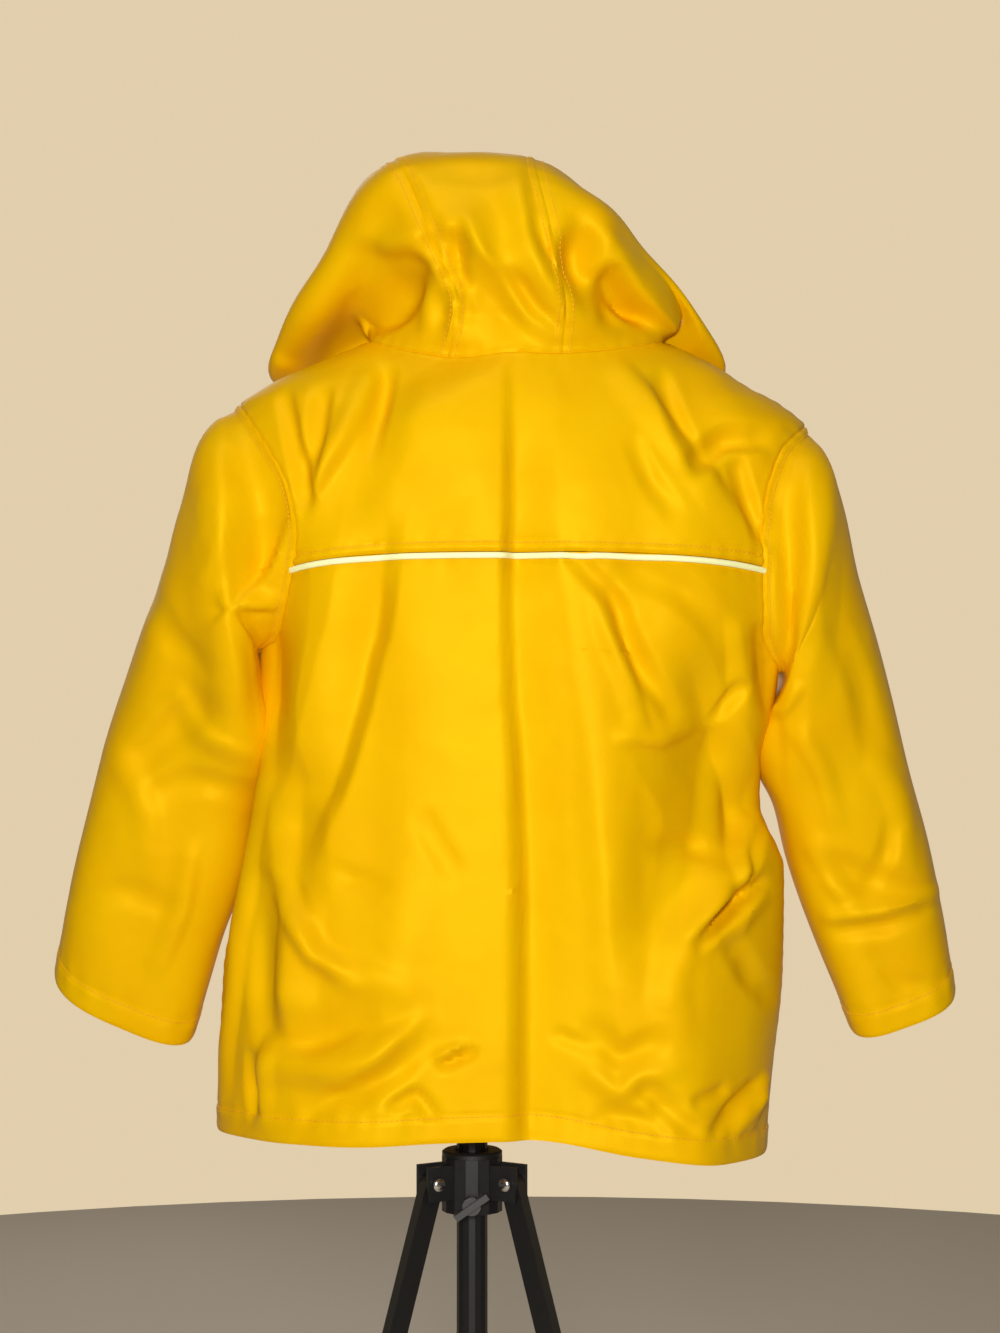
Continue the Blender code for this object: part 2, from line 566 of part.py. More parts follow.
def sleeve(name, side, material):
    """A sleeve: rings from the armhole down to the cuff."""
    table = SLEEVE_LEFT if side > 0 else SLEEVE_RIGHT
    hole, hole_normals = armhole_loop(side)
    count = len(hole)
    top, foot = hole[0, 2], hole[:, 2].min()
    lift = np.clip((hole[:, 2] - (top + foot) / 2) / ((top - foot) / 2), -1, 1)
    at_back = np.arange(count) <= int(np.argmin(hole[:, 2]))
    swing = np.arccos(lift) * np.where(at_back, 1, -1)
    rings = [hole]
    for i in range(len(table.rows)):
        outer = np.array([table.outer_x[i], table.outer_z[i]])
        inner = np.array([table.inner_x[i], table.inner_z[i]])
        reach = (outer - inner) / 2
        across = np.sign(np.cos(swing)) * np.abs(np.cos(swing)) ** (2 / SQUARE)
        depth = np.sign(np.sin(swing)) * np.abs(np.sin(swing)) ** (2 / SQUARE)
        ring = np.empty((count, 3))
        ring[:, [0, 2]] = (outer + inner) / 2 + across[:, None] * reach
        ring[:, 1] = table.mid[i] + depth * np.where(depth > 0, table.back[i], table.front[i])
        ring[:, 2] -= depth * table.dip[i]
        rings.append(ring)
    rings = np.array(rings)
    steps = np.linalg.norm(np.diff(rings, axis=0), axis=-1).mean(axis=1)
    stops = np.concatenate([[0], np.cumsum(steps)])
    stations = stops[-1] * np.linspace(0, 1, SLEEVE_ROWS + 1) ** 1.25
    outer = through(stops, rings, stations)
    normals = sleeve_normals(outer, side)
    outer = outer + normals * (fold_rise(outer, normals, SLEEVE_FOLDS)
                               * np.clip(stations / 0.02, 0, 1)[:, None])[..., None]
    normals = sleeve_normals(outer, side)
    outer[0, :, 0] += side * SEAM * (1 + 2.5 * np.maximum(-lift, 0) ** 4)
    inner = outer - normals * CLOTH
    inner[0] = outer[0] + start_rim(hole, hole_normals, normals[0]) * CLOTH
    return wall(name, outer, inner, material, closed=True)


def sleeve_normals(points, side):
    """Normals of a sleeve's rings, pointing out of the tube."""
    normals = grid_normals(points, closed=True)
    outwards = points - points.mean(axis=1, keepdims=True)
    return normals * np.sign((normals * outwards).sum(axis=-1).mean())


def start_rim(hole, hole_normals, own_normals):
    """Directions of a sleeve's first edge: its own inside, kept off the body's wall."""
    ahead = np.roll(hole, -1, axis=0) - np.roll(hole, 1, axis=0)
    into_body = unit(np.cross(hole_normals, ahead))
    outwards = hole - hole.mean(axis=0)
    into_body *= np.sign((into_body * outwards).sum(axis=-1, keepdims=True))
    inwards = -own_normals
    lean = np.maximum((inwards * into_body).sum(axis=-1, keepdims=True), 0)
    return unit(inwards - lean * into_body)


# ------------------------------------------------------------------ hood
def hood_grid():
    """Outer points of the whole hood: rows from the neck seam to the face edge."""
    left = neckline(1, -1, FRONT_NECK_CELLS)[::-1][:-1]
    right = neckline(-1, -1, FRONT_NECK_CELLS)
    back = back_neckline()[::-1]
    pairs = np.concatenate([left, back, right[1:]])
    seam, _ = on_body(pairs)
    seam[[0, -1], 0] = HOOD_FOOT, -HOOD_FOOT
    seam[[0, -1], 2] += 2 * SEAM
    sides = FRONT_NECK_CELLS // 2, FRONT_NECK_CELLS // 2, COLLAR_CELLS // 2, COLLAR_CELLS // 2, STRIP_CELLS // 2
    marks = np.cumsum([0, *sides, *sides[::-1]])
    rows = [seam]
    for i in range(len(HOOD.rows)):
        middle = np.array([HOOD.mid_x[i], HOOD.mid_y[i], HOOD.mid_z[i]])
        knots = [middle]
        for side, reach in ((1, HOOD.left_x[i]), (-1, HOOD.right_x[i])):
            edge = middle + (side * HOOD.half[i], 0, -HOOD.drop[i])
            widest = np.array([reach, HOOD.side_y[i], HOOD.side_z[i]])
            flank = (edge + widest) / 2 + (side * HOOD.bulge[i], 0, HOOD.bulge[i])
            foot = np.array([side * HOOD.foot[i], HOOD.foot_y[i], HOOD.foot_z[i]])
            cheek = (foot + widest) / 2 + HOOD.cheek[i] * np.array([side * 0.6, -0.8, 0])
            half = [foot, cheek, widest, flank, edge]
            knots = half + knots if side > 0 else knots + half[::-1]
        knots = np.array(knots)
        chords = np.concatenate([[0], np.cumsum(np.linalg.norm(np.diff(knots, axis=0), axis=1))])
        at = np.interp(np.arange(marks[-1] + 1), marks, chords)
        rows.append(through(chords, knots, at))
    rows = np.array(rows)
    steps = np.linalg.norm(np.diff(rows, axis=0), axis=-1).mean(axis=1)
    stops = np.concatenate([[0], np.cumsum(steps)])
    points = through(stops, rows, np.linspace(0, stops[-1], HOOD_ROWS + 1))
    normals = hood_normals(points)
    fade = np.clip(np.linspace(0, 1, HOOD_ROWS + 1) / 0.1, 0, 1)[:, None]
    return points + normals * (fold_rise(points, normals, HOOD_FOLDS) * fade)[..., None]


def hood_normals(points):
    """Normals of the hood, pointing out of it."""
    normals = grid_normals(points, closed=False)
    middle = points[:, points.shape[1] // 2]
    away = middle - np.array([STAND_X, 0, 1.09])
    return normals * np.sign((normals[:, points.shape[1] // 2] * away).sum(axis=-1).mean())


def hood(materials):
    """The hood's centre strip and its two sides."""
    outer = hood_grid()
    pull(outer, "first row", SEAM)
    inner = outer - hood_normals(outer) * CLOTH
    first = FRONT_NECK_CELLS + COLLAR_CELLS
    last = first + STRIP_CELLS
    pieces = {
        "hood_side_left": (np.s_[:, :first + 1], ["last column"]),
        "hood_centre": (np.s_[:, first:last + 1], ["first column", "last column"]),
        "hood_side_right": (np.s_[:, last:], ["first column"]),
    }
    for name, (columns, seams) in pieces.items():
        piece_outer, piece_inner = outer[columns].copy(), inner[columns].copy()
        for edge in seams:
            pull(piece_outer, edge, SEAM / 2)
            pull(piece_inner, edge, SEAM / 2)
        wall(name, piece_outer, piece_inner, materials["cloth"])


# ------------------------------------------------------------------ trims
def piping(material):
    """The reflective piping under the yoke's edge, laid on the top of the back panel."""
    seam = yoke_seam()
    seam[:, 1] -= PIPING_TALL / 2 + SEAM
    points, normals = on_body(seam)
    along = unit(np.gradient(points, axis=0))
    down = unit(np.cross(normals, along))
    centre = points + normals * (PIPING_DEEP / 2 + LAID_ON)
    sides = 6
    rings = []
    for point, normal, side in zip(centre, normals, down):
        turns = np.arange(sides) * 2 * math.pi / sides
        rings.append([point + normal * PIPING_DEEP / 2 * math.cos(t) + side * PIPING_TALL / 2 * math.sin(t)
                      for t in turns])
    return skin_solid("yoke_piping", rings, material)


def placket_grid():
    """(turn, z) grid of the storm strip over the centre front."""
    middle = front_grid(1)[:, 0]
    rows = []
    for turn, z in middle:
        x = np.linspace(PLACKET_HALF, -PLACKET_HALF, 5)
        x = x * (1.0 if z < THROAT - 0.02 else 0.92)
        rows.append(np.stack([turn_at(x, np.full(x.shape, z), -1), np.full(x.shape, z)], axis=-1))
    grid = np.array(rows)
    grid[0, :, 1] += SEAM
    grid[-1, :, 1] -= 0.004
    return grid


def placket(material):
    """The storm strip, moved out from the fronts that it lies on."""
    points, normals = on_body(placket_grid())
    inner = points + normals * LAID_ON
    return wall("storm_strip", inner + normals * CLOTH, inner, material)


def snaps(material):
    """Snap caps down the storm strip."""
    for index in range(SNAP_COUNT):
        z = THROAT - 0.030 - index * (THROAT - 0.115 - BODY.z[0]) / (SNAP_COUNT - 1)
        point, normal = on_body(np.array([[math.pi, z]]))
        base = Vector(point[0]) + Vector(normal[0]) * (LAID_ON + CLOTH + SEAT)
        turn = Vector(normal[0]).to_track_quat("Z", "Y").to_matrix()
        profile = ((0.0, SNAP_RADIUS), (0.6, SNAP_RADIUS), (1.0, SNAP_RADIUS * 0.72))
        rings = [[base + turn @ Vector((radius * math.cos(a), radius * math.sin(a), SNAP_HEIGHT * height))
                  for a in np.arange(14) * 2 * math.pi / 14] for height, radius in profile]
        skin_solid(f"snap_{index + 1}", rings, material)


# ------------------------------------------------------------------ dress form
def under_ridge(z):
    """Half width and height of the form's shoulder, just under the coat's left shoulder."""
    step = 0.001
    slope = (glide(BODY.z, BODY.left, z + step) - glide(BODY.z, BODY.left, z - step)) / (2 * step)
    outward = unit(np.array([1.0, -float(slope)]))
    inset = CLOTH + FORM_REST
    return float(glide(BODY.z, BODY.left, z)) - outward[0] * inset - STAND_X, z - outward[1] * inset


def form_rings():
    """Rings of the dress form from its base to its neck cap."""
    count = 28
    turns = np.arange(count) * 2 * math.pi / count
    sections = [(FORM.z[i], FORM.half[i], FORM.back[i], FORM.front[i]) for i in range(len(FORM.rows))]
    for z in SHOULDER_LEVELS:
        half, height = under_ridge(z)
        back, front = glide(BODY.z, BODY.back, z), glide(BODY.z, BODY.front, z)
        sections.append((height, half, back * FORM_DEPTH_SHARE, front * FORM_DEPTH_SHARE))
    sections += [(FORM_NECK.z[i], FORM_NECK.half[i], FORM_NECK.back[i], FORM_NECK.front[i])
                 for i in range(len(FORM_NECK.rows))]
    power = 2 / SQUARE
    across = np.sign(np.sin(turns)) * np.abs(np.sin(turns)) ** power
    depth = np.sign(np.cos(turns)) * np.abs(np.cos(turns)) ** power
    rings = []
    for z, half, back, front in sections:
        y = depth * np.where(depth > 0, back, front)
        rings.append(np.stack([STAND_X + half * across, y, np.full(count, z)], axis=-1))
    return rings


# ------------------------------------------------------------------ tripod stand
def boolean(target, tool, operation):
    """Joins or cuts a solid with another, and drops the tool."""
    step = target.modifiers.new(operation, "BOOLEAN")
    step.operation = operation
    step.solver = "EXACT"
    step.object = tool
    bpy.context.view_layer.update()
    graph = bpy.context.evaluated_depsgraph_get()
    mesh = bpy.data.meshes.new_from_object(target.evaluated_get(graph))
    target.modifiers.remove(step)
    target.data = mesh
    bpy.data.objects.remove(tool)


def rod(name, start, end, radius, material, sides=16):
    """A round bar between two points."""
    start, end = Vector(start), Vector(end)
    turn = (end - start).to_track_quat("Z", "Y").to_matrix()
    rings = []
    for centre in (start, end):
        rings.append([centre + turn @ Vector((radius * math.cos(a), radius * math.sin(a), 0))
                      for a in (np.arange(sides) + 0.5) * 2 * math.pi / sides])
    return skin_solid(name, rings, material)


def block(name, centre, size, turn, material):
    """A box about a centre, turned by a matrix."""
    half = Vector(size) / 2
    rings = []
    for level in (-1, 1):
        corners = ((-1, -1), (1, -1), (1, 1), (-1, 1))
        rings.append([Vector(centre) + turn @ Vector((half.x * sx, half.y * sy, half.z * level))
                      for sx, sy in corners])
    return skin_solid(name, rings, material, smooth_angle=20)


def bearing_frame(degrees):
    """Turns +X to a compass bearing round the stand's axis."""
    return Matrix.Rotation(math.radians(degrees), 3, "Z")


def hub(material):
    """The hub: a collar round the pole with three pairs of lugs and their pins."""
    axis = (STAND_X, 0)
    collar = rod("tripod_hub", (*axis, HUB_BOTTOM), (*axis, HUB_TOP), HUB_RADIUS, material)
    for degrees in LEG_BEARINGS.values():
        turn = bearing_frame(degrees)
        for side in (-1, 1):
            offset = side * (LEG_WIDE / 2 + SEAT + LUG_THICK / 2)
            start, end = HUB_RADIUS * 0.62, LEG_HINGE_RADIUS + 0.0075
            centre = turn @ Vector(((start + end) / 2, offset, 0)) + Vector((*axis, LEG_HINGE_HEIGHT))
            boolean(collar, block("lug", centre, (end - start, LUG_THICK, 0.024), turn, material), "UNION")
        reach = LEG_WIDE / 2 + SEAT + LUG_THICK + 0.0015
        pin = [turn @ Vector((LEG_HINGE_RADIUS, side * reach, 0)) + Vector((*axis, LEG_HINGE_HEIGHT))
               for side in (-1, 1)]
        boolean(collar, rod("pin", *pin, PIN_RADIUS, material, sides=10), "UNION")
    bore = rod("bore", (*axis, HUB_BOTTOM - 0.01), (*axis, HUB_TOP + 0.01), HUB_BORE, material)
    boolean(collar, bore, "DIFFERENCE")
    thread = rod("thread", (STAND_X, 0.005, KNOB_HEIGHT), (STAND_X, 0.05, KNOB_HEIGHT), 0.0034, material, 10)
    boolean(collar, thread, "DIFFERENCE")
    return collar


def leg(name, degrees, materials):
    """A leg on its hinge pin, and its foot."""
    turn = bearing_frame(degrees)
    hinge = turn @ Vector((LEG_HINGE_RADIUS, 0, 0)) + Vector((STAND_X, 0, LEG_HINGE_HEIGHT))
    toe = turn @ Vector((FOOT_CIRCLE, 0, 0)) + Vector((STAND_X, 0, FOOT_HEIGHT))
    run = (toe - hinge).normalized()
    pin_way = turn @ Vector((0, 1, 0))
    front = run.cross(pin_way).normalized()
    length = (toe - hinge).length - LEG_DEEP * 0.5
    outline = [(LEG_DEEP / 2 * math.cos(a), LEG_DEEP / 2 * math.sin(a))
               for a in np.linspace(math.pi / 2, 3 * math.pi / 2, 9)]
    outline += [(length, -LEG_DEEP / 2), (length, LEG_DEEP / 2)]
    rings = [[hinge + run * along + front * aside + pin_way * side * LEG_WIDE / 2
              for along, aside in outline] for side in (-1, 1)]
    made = skin_solid(name, rings, materials["stand"], smooth_angle=30)
    hole = rod("hole", hinge - pin_way * 0.02, hinge + pin_way * 0.02, PIN_RADIUS + SEAT, materials["stand"], 10)
    boolean(made, hole, "DIFFERENCE")
    low = min((made.matrix_world @ vertex.co).z for vertex in made.data.vertices)
    foot_name = name.replace("leg", "foot")
    foot = rod(foot_name, (toe.x, toe.y, 0), (toe.x, toe.y, low - SEAT), FOOT_RADIUS, materials["rubber"], 14)
    put_origin([made, foot], hinge)


def knob(material):
    """The clamp screw with its two wings, in the hub's side towards the coat's back."""
    start = POLE_RADIUS + SEAT
    boss = HUB_RADIUS + 0.0045
    made = rod("clamp_knob", (STAND_X, start, KNOB_HEIGHT), (STAND_X, boss + 0.001, KNOB_HEIGHT), 0.003, material, 10)
    boolean(made, rod("boss", (STAND_X, boss, KNOB_HEIGHT), (STAND_X, boss + 0.009, KNOB_HEIGHT), 0.0065,
                      material, 12), "UNION")
    wing = block("wing", (STAND_X, boss + 0.0075, KNOB_HEIGHT), (0.027, 0.012, 0.0045),
                 Matrix.Rotation(math.radians(35), 3, "Y"), material)
    boolean(made, wing, "UNION")
    put_origin([made], (STAND_X, boss, KNOB_HEIGHT))


def put_origin(pieces, point):
    """Moves the pieces' own origins to a point and leaves their meshes where they are."""
    for piece in pieces:
        piece.data.transform(Matrix.Translation(-Vector(point)))
        piece.location = point


def settle_on_origin(pieces):
    """Moves everything so that the origin is under the middle of the whole."""
    corners = np.array([piece.location + vertex.co for piece in pieces for vertex in piece.data.vertices])
    low, high = corners.min(axis=0), corners.max(axis=0)
    shift = Vector((-(low[0] + high[0]) / 2, -(low[1] + high[1]) / 2, -low[2]))
    for piece in pieces:
        piece.location += shift


def main():
    """Builds every piece."""
    for existing in list(bpy.data.objects):
        bpy.data.objects.remove(existing)
    materials = {
        "cloth": plain_material("yellow coated cloth", (1.0, 0.55, 0.0), 0.42),
        "reflective": plain_material("reflective piping", (0.95, 0.95, 0.55), 0.35),
        "snap": plain_material("yellow plastic snap", (0.95, 0.50, 0.0), 0.35),
        "form": plain_material("form jersey", (0.86, 0.84, 0.80), 0.85),
        "stand": plain_material("black stand", (0.02, 0.02, 0.02), 0.45, 0.3),
        "rubber": plain_material("black rubber", (0.015, 0.015, 0.015), 0.8),
        "knob": plain_material("grey knob", (0.12, 0.12, 0.12), 0.5),
    }
    body_panel("back_yoke", yoke_grid(), ["first row", "first column", "last column"], materials["cloth"])
    body_panel("back_panel", back_grid(), ["first row", "first column", "last column"], materials["cloth"])
    for name, side in (("front_left", 1), ("front_right", -1)):
        body_panel(name, front_grid(side), ["first column", "last column", "last row"], materials["cloth"])
    sleeve("sleeve_left", 1, materials["cloth"])
    sleeve("sleeve_right", -1, materials["cloth"])
    hood(materials)
    piping(materials["reflective"])
    placket(materials["cloth"])
    snaps(materials["snap"])
    skin_solid("dress_form", form_rings(), materials["form"])
    rod("pole", (STAND_X, 0, POLE_BOTTOM), (STAND_X, 0, FORM_BASE - SEAT), POLE_RADIUS, materials["stand"])
    hub(materials["stand"])
    for name, degrees in LEG_BEARINGS.items():
        leg(name, degrees, materials)
    knob(materials["knob"])
    pieces = list(bpy.context.scene.collection.objects)
    on_pole = [piece for piece in pieces if piece.location.length == 0 and piece.name != "tripod_hub"]
    put_origin(on_pole, (STAND_X, 0, HUB_TOP))
    settle_on_origin(pieces)


main()
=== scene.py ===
"""Looks of a kids raincoat on a limbless dress form and a folding tripod stand.

Metres, +Z up.  The coat's back faces +Y, its front -Y, and the wearer's left is +X.  The
coat's body is one smooth surface, read at an angle round it and a height, and every panel is
a region of it, cut at the seams.  Folds are laid on it as listed ridges and troughs.
"""

import logging
import math
from dataclasses import dataclass, field
from enum import Enum
from functools import cache
from typing import Callable, Iterable, Sequence

import bpy
import numpy as np
from mathutils import Matrix, Vector


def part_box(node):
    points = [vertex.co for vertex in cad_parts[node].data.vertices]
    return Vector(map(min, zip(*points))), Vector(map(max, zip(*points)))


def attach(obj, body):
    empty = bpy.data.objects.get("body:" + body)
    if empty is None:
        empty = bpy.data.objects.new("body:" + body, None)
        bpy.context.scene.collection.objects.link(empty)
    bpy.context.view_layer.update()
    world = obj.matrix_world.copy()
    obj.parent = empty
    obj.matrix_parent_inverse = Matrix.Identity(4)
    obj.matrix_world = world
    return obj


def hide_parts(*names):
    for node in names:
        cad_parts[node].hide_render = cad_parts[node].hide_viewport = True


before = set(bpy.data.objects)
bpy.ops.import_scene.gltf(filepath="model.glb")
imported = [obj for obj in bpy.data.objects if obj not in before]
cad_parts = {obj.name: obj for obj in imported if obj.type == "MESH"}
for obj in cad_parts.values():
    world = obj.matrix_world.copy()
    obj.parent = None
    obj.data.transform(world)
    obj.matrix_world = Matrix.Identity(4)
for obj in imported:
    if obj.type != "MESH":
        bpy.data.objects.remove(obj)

Array = np.ndarray
Pair = tuple[float, float]
Object = bpy.types.Object
Material = bpy.types.Material
LOG = logging.getLogger("raincoat")

SQUARE = 2.3  # roundness of the body's sections, 2 is an ellipse
SLEEVE_SQUARE = 2.9  # and of the sleeves', which hang flat
STAND_X = 0.023  # the stand's axis, off the coat's middle
SEAM_GAP = 0.0004  # between two pieces that are sewn together
LAID_ON = 0.0006  # under a strip that lies on a curved panel
CROWDING = 0.65  # how much shorter a cell beside a seam is than one in the open
FULL_FACING = 0.35  # lean of a normal from which the folds of its side show in full
STITCH_WIDTH = 0.0014  # of the dent under a row of stitches
CLEAR = 0.0001  # between a fitting and what it sits on
SHARP = 35.0  # degrees from which the edges of small round shapes stay sharp
TINY = 1e-12  # keeps a division by a length off zero
COAT_INSIDE = np.array([0.0, 0.0, 0.8])  # a point that every panel of the body faces away from


class Face(Enum):
    """The side of the coat that a fold lies on."""

    BACK = 1
    FRONT = -1


class Side(Enum):
    """The wearer's left or right."""

    LEFT = 1
    RIGHT = -1

    @property
    def tag(self) -> str:
        """The side's name in small letters."""
        return self.name.lower()


class Edge(Enum):
    """An edge of a grid of points: its axis, and which end of it."""

    FIRST_ROW = (0, 0)
    LAST_ROW = (0, -1)
    FIRST_COLUMN = (1, 0)
    LAST_COLUMN = (1, -1)

    def inwards(self, grid: Array) -> Array:
        """The grid as a view that starts at this edge and runs inwards."""
        axis, end = self.value
        return np.swapaxes(grid, 0, axis)[::-1 if end else 1]


class Table:
    """Rows of numbers under named columns; each column is an array."""

    def __init__(self, columns: str, text: str) -> None:
        """Reads the rows.

        Args:
            columns: names of the columns, with spaces between them.
            text: on each line a row's name, a colon, and its numbers in millimetres, or in
                degrees under "turn".
        """
        names = columns.split()
        rows = [line.split(":")[1].split() for line in text.strip().splitlines()]
        self.count, self.first = len(rows), names[0]
        self.values = {name: np.array([float(row[place] + ("" if name == "turn" else "e-3")) for row in rows])
                       for place, name in enumerate(names)}

    def __getitem__(self, name: str) -> Array:
        """The values of one column."""
        return self.values[name]

    def read(self, name: str, at: Array) -> Array:
        """One column, read at values of the first column, by a curve without overshoot."""
        return glide(self[self.first], self[name], at)


# Sections of the coat's body: half widths to the left and right, depths to back and front.
BODY = Table("z left right back front", """
hem: 490 199.8 183 101 107
thigh: 560 199 188 98 104
low hip: 620 196.5 193 95 100
hip: 690 180 194.5 92 96
waist: 735 173 178.5 90 93
ribs: 765 171.6 178 89 91
low chest: 800 173.4 187.6 88 89
underarm: 845 171.2 193.6 88 88
chest: 900 176 203 88 86
blade: 950 189 208.5 86 80
high blade: 985 193.5 211 80 72
right tip: 998.6 191.5 208.6 76 68
left tip: 1014.7 185.5 190 70 60
shoulder: 1025 170 172 65 54
slope: 1038 143 152.6 57 45
high slope: 1050 115 128 46 34
neck: 1058 93 109 34 26
""")

# How far out from the middle each armhole runs, from its foot up to the shoulder tip.
ARMHOLES = {
    Side.LEFT: Table("z back front", """
foot: 845 172 172
low: 858 161 157
scoop: 883 149 142
middle: 924 140.8 134
high: 951 145.9 139
upper: 988 166.5 160
tip: 1014.7 185.5 185.5
"""),
    Side.RIGHT: Table("z back front", """
foot: 829 190 190
low: 842 183.5 179
scoop: 863 177 169
middle: 905 175 164
high: 944 177.5 168
upper: 977 188 183
tip: 998.6 208.6 208.6
"""),
}

# The hem's height, round from the right side (-90 degrees) past the back to the front.
HEM = Table("turn z", """
right side: -90 496
right lobe: -48 498.5
right back: -25 506
centre back: -3 517.5
left back: 28 513.5
left side: 90 511
centre front: 180 503.5
right side again: 270 496
""")

# Sleeve sections from the seam down: outer and inner point, depths, how far forward the
# middle hangs and how much lower the back of the section lies than its front.
SLEEVES = {
    Side.LEFT: Table("outer_x outer_z inner_x inner_z back front mid dip", """
cap: 206.5 988 173.2 839.5 58 54 -4 0
upper: 221.4 951.5 170.8 824 58 54 -9 0
bicep: 240.6 899.5 168.2 802 56 52 -16 2
above elbow: 261 843 166.4 777 51 48 -24 4
elbow: 279.8 786.6 172.2 740 45 43 -27 6
forearm: 298.9 721 185 682 40 38 -30 10
low forearm: 310 670.8 203 637 35 34 -32 15
cuff: 319 616.6 220.8 575 30 30 -34 18
"""),
    Side.RIGHT: Table("outer_x outer_z inner_x inner_z back front mid dip", """
cap: -221.5 976 -194 823.5 58 54 -4 0
upper: -234.4 942.5 -188.5 809 57 53 -9 0
bicep: -248.4 892.5 -178 792 55 51 -16 2
above elbow: -265 838 -172.2 772 52 48 -22 4
elbow: -281.6 779.5 -189 737 48 45 -26 6
forearm: -299.1 711.9 -201 693 45 42 -30 9
low forearm: -311.7 658.8 -219 641.8 43 40 -32 12
cuff: -318.3 608 -243.4 580.3 41 38 -34 14
"""),
}

# Hood arches from the neck seam over the crown to the face edge: the middle of the strip,
# half its width, how much lower its edge lies, how far the flank below it swells, the widest
# point of each side, how far the cheek swells before it, and the foot.
HOOD = Table("mid_x mid_y mid_z half drop bulge left_x right_x side_y side_z cheek foot foot_y foot_z", """
rise: -4 66 1078 37 0 3 98 -116 2 1070 16 11 -70 1014
back: 8 72 1120 41 1 4 111 -123 -2 1080 18 13 -75 1022
crown: 24 58 1172 46 3 4 145 -138 -8 1060 14 15 -80 1030
top: 29 12 1188 50 4 3 164 -154 -24 1043 10 18 -84 1037
brow: 30 -50 1184 50 6 3 165 -155 -50 1036 6 21 -87 1043
face: 30 -105 1172 50 8 3 153 -143 -74 1031 4 24 -89 1048
""")


# ---- curves
def glide(stops: Array, values: Array, at: Array) -> Array:
    """A curve without overshoot through values at rising stops.

    Args:
        stops: where the values stand, rising.
        values: the values there.
        at: where the curve is read; outside the stops it keeps its end values.

    Returns:
        The curve's values.
    """
    at = np.clip(np.asarray(at, float), stops[0], stops[-1])
    steps = np.diff(stops)
    slopes = np.diff(values) / steps
    tangents = np.zeros(len(stops))
    tangents[0], tangents[-1] = slopes[0], slopes[-1]
    for i in range(1, len(stops) - 1):
        if slopes[i - 1] * slopes[i] > 0:
            before = 2 * steps[i] + steps[i - 1]
            after = steps[i] + 2 * steps[i - 1]
            tangents[i] = (before + after) / (before / slopes[i - 1] + after / slopes[i])
    span = np.clip(np.searchsorted(stops, at, side="right") - 1, 0, len(steps) - 1)
    return cubic(values, tangents, stops, span, at)


def through(stops: Array, points: Array, at: Array) -> Array:
    """A smooth curve through points.

    Args:
        stops: where the points stand along it, rising.
        points: the points, one in each row.
        at: where the curve is read.

    Returns:
        The curve's points.
    """
    stops, points = np.asarray(stops, float), np.asarray(points, float)
    slopes = np.gradient(points, stops, axis=0)
    span = np.clip(np.searchsorted(stops, at, side="right") - 1, 0, len(stops) - 2)
    return cubic(points, slopes, stops, span, np.asarray(at, float))


def cubic(values: Array, slopes: Array, stops: Array, span: Array, at: Array) -> Array:
    """Cubic pieces between stops, from the values and slopes at their ends.

    Args:
        values: the values at the stops.
        slopes: the slopes there.
        stops: the stops.
        span: the number of the stretch that each reading falls in.
        at: where the curve is read.

    Returns:
        The values there.
    """
    shape = np.shape(at) + (1,) * (values.ndim - 1)
    reach = np.reshape(stops[span + 1] - stops[span], shape)
    t = np.reshape(at - stops[span], shape) / reach
    return (values[span] * (1 + 2 * t) * (1 - t) ** 2 + slopes[span] * reach * t * (1 - t) ** 2
            + values[span + 1] * t * t * (3 - 2 * t) + slopes[span + 1] * reach * t * t * (t - 1))


def unit(vectors: Array) -> Array:
    """The vectors at length one."""
    return vectors / np.maximum(np.linalg.norm(vectors, axis=-1, keepdims=True), TINY)


def bell(distance: Array) -> Array:
    """1 at the middle, falling smoothly to 0 at a distance of 1."""
    return np.cos(np.clip(distance, 0, 1) * math.pi / 2) ** 2


def soften(values: Array) -> Array:
    """A grid of values with each mixed with its neighbours; those on the edges stay.

    Args:
        values: the grid.

    Returns:
        The softened grid.
    """
    values = values.copy()
    for grid in (values, values.T):
        grid[1:-1] = (grid[:-2] + 2 * grid[1:-1] + grid[2:]) / 4
    return values


def hump(offset: Array, width: float) -> Array:
    """A round bump of height 1 about zero, with its slopes done within about two widths."""
    return np.exp(-(offset / width) ** 2)


def grid_normals(points: Array, closed: bool = False) -> Array:
    """Unit normals of a grid of points.

    Args:
        points: the grid.
        closed: whether its columns run round a tube.

    Returns:
        The normals.
    """
    if closed:
        wrapped = np.concatenate([points[:, -1:], points, points[:, :1]], axis=1)
        across = wrapped[:, 2:] - wrapped[:, :-2]
    else:
        across = np.gradient(points, axis=1)
    return unit(np.cross(across, np.gradient(points, axis=0)))


def squared(values: Array, square: float) -> Array:
    """Sines or cosines drawn out towards the corners of a round-cornered section."""
    return np.sign(values) * np.abs(values) ** (2 / square)


def circle(count: int) -> Array:
    """Angles once round a circle."""
    return np.arange(count) * 2 * math.pi / count


def stops_along(points: Array) -> Array:
    """How far along a line each of its points lies."""
    return np.concatenate([[0], np.cumsum(np.linalg.norm(np.diff(points, axis=0), axis=-1))])


def stops_down(rows: Array) -> Array:
    """How far below the first row each row of a grid lies, on average."""
    return np.concatenate([[0], np.cumsum(np.linalg.norm(np.diff(rows, axis=0), axis=-1).mean(axis=1))])


def interpolated(stops: Array, rows: Array, at: Array) -> Array:
    """Rows of numbers along a line, read between its stops by straight steps."""
    return np.stack([np.interp(at, stops, column) for column in rows.T], axis=-1)


def turned_out(normals: Array, away: Array) -> Array:
    """Normals turned together so that they lead the way that `away` does."""
    return normals * np.sign((normals * away).sum(axis=-1).mean())


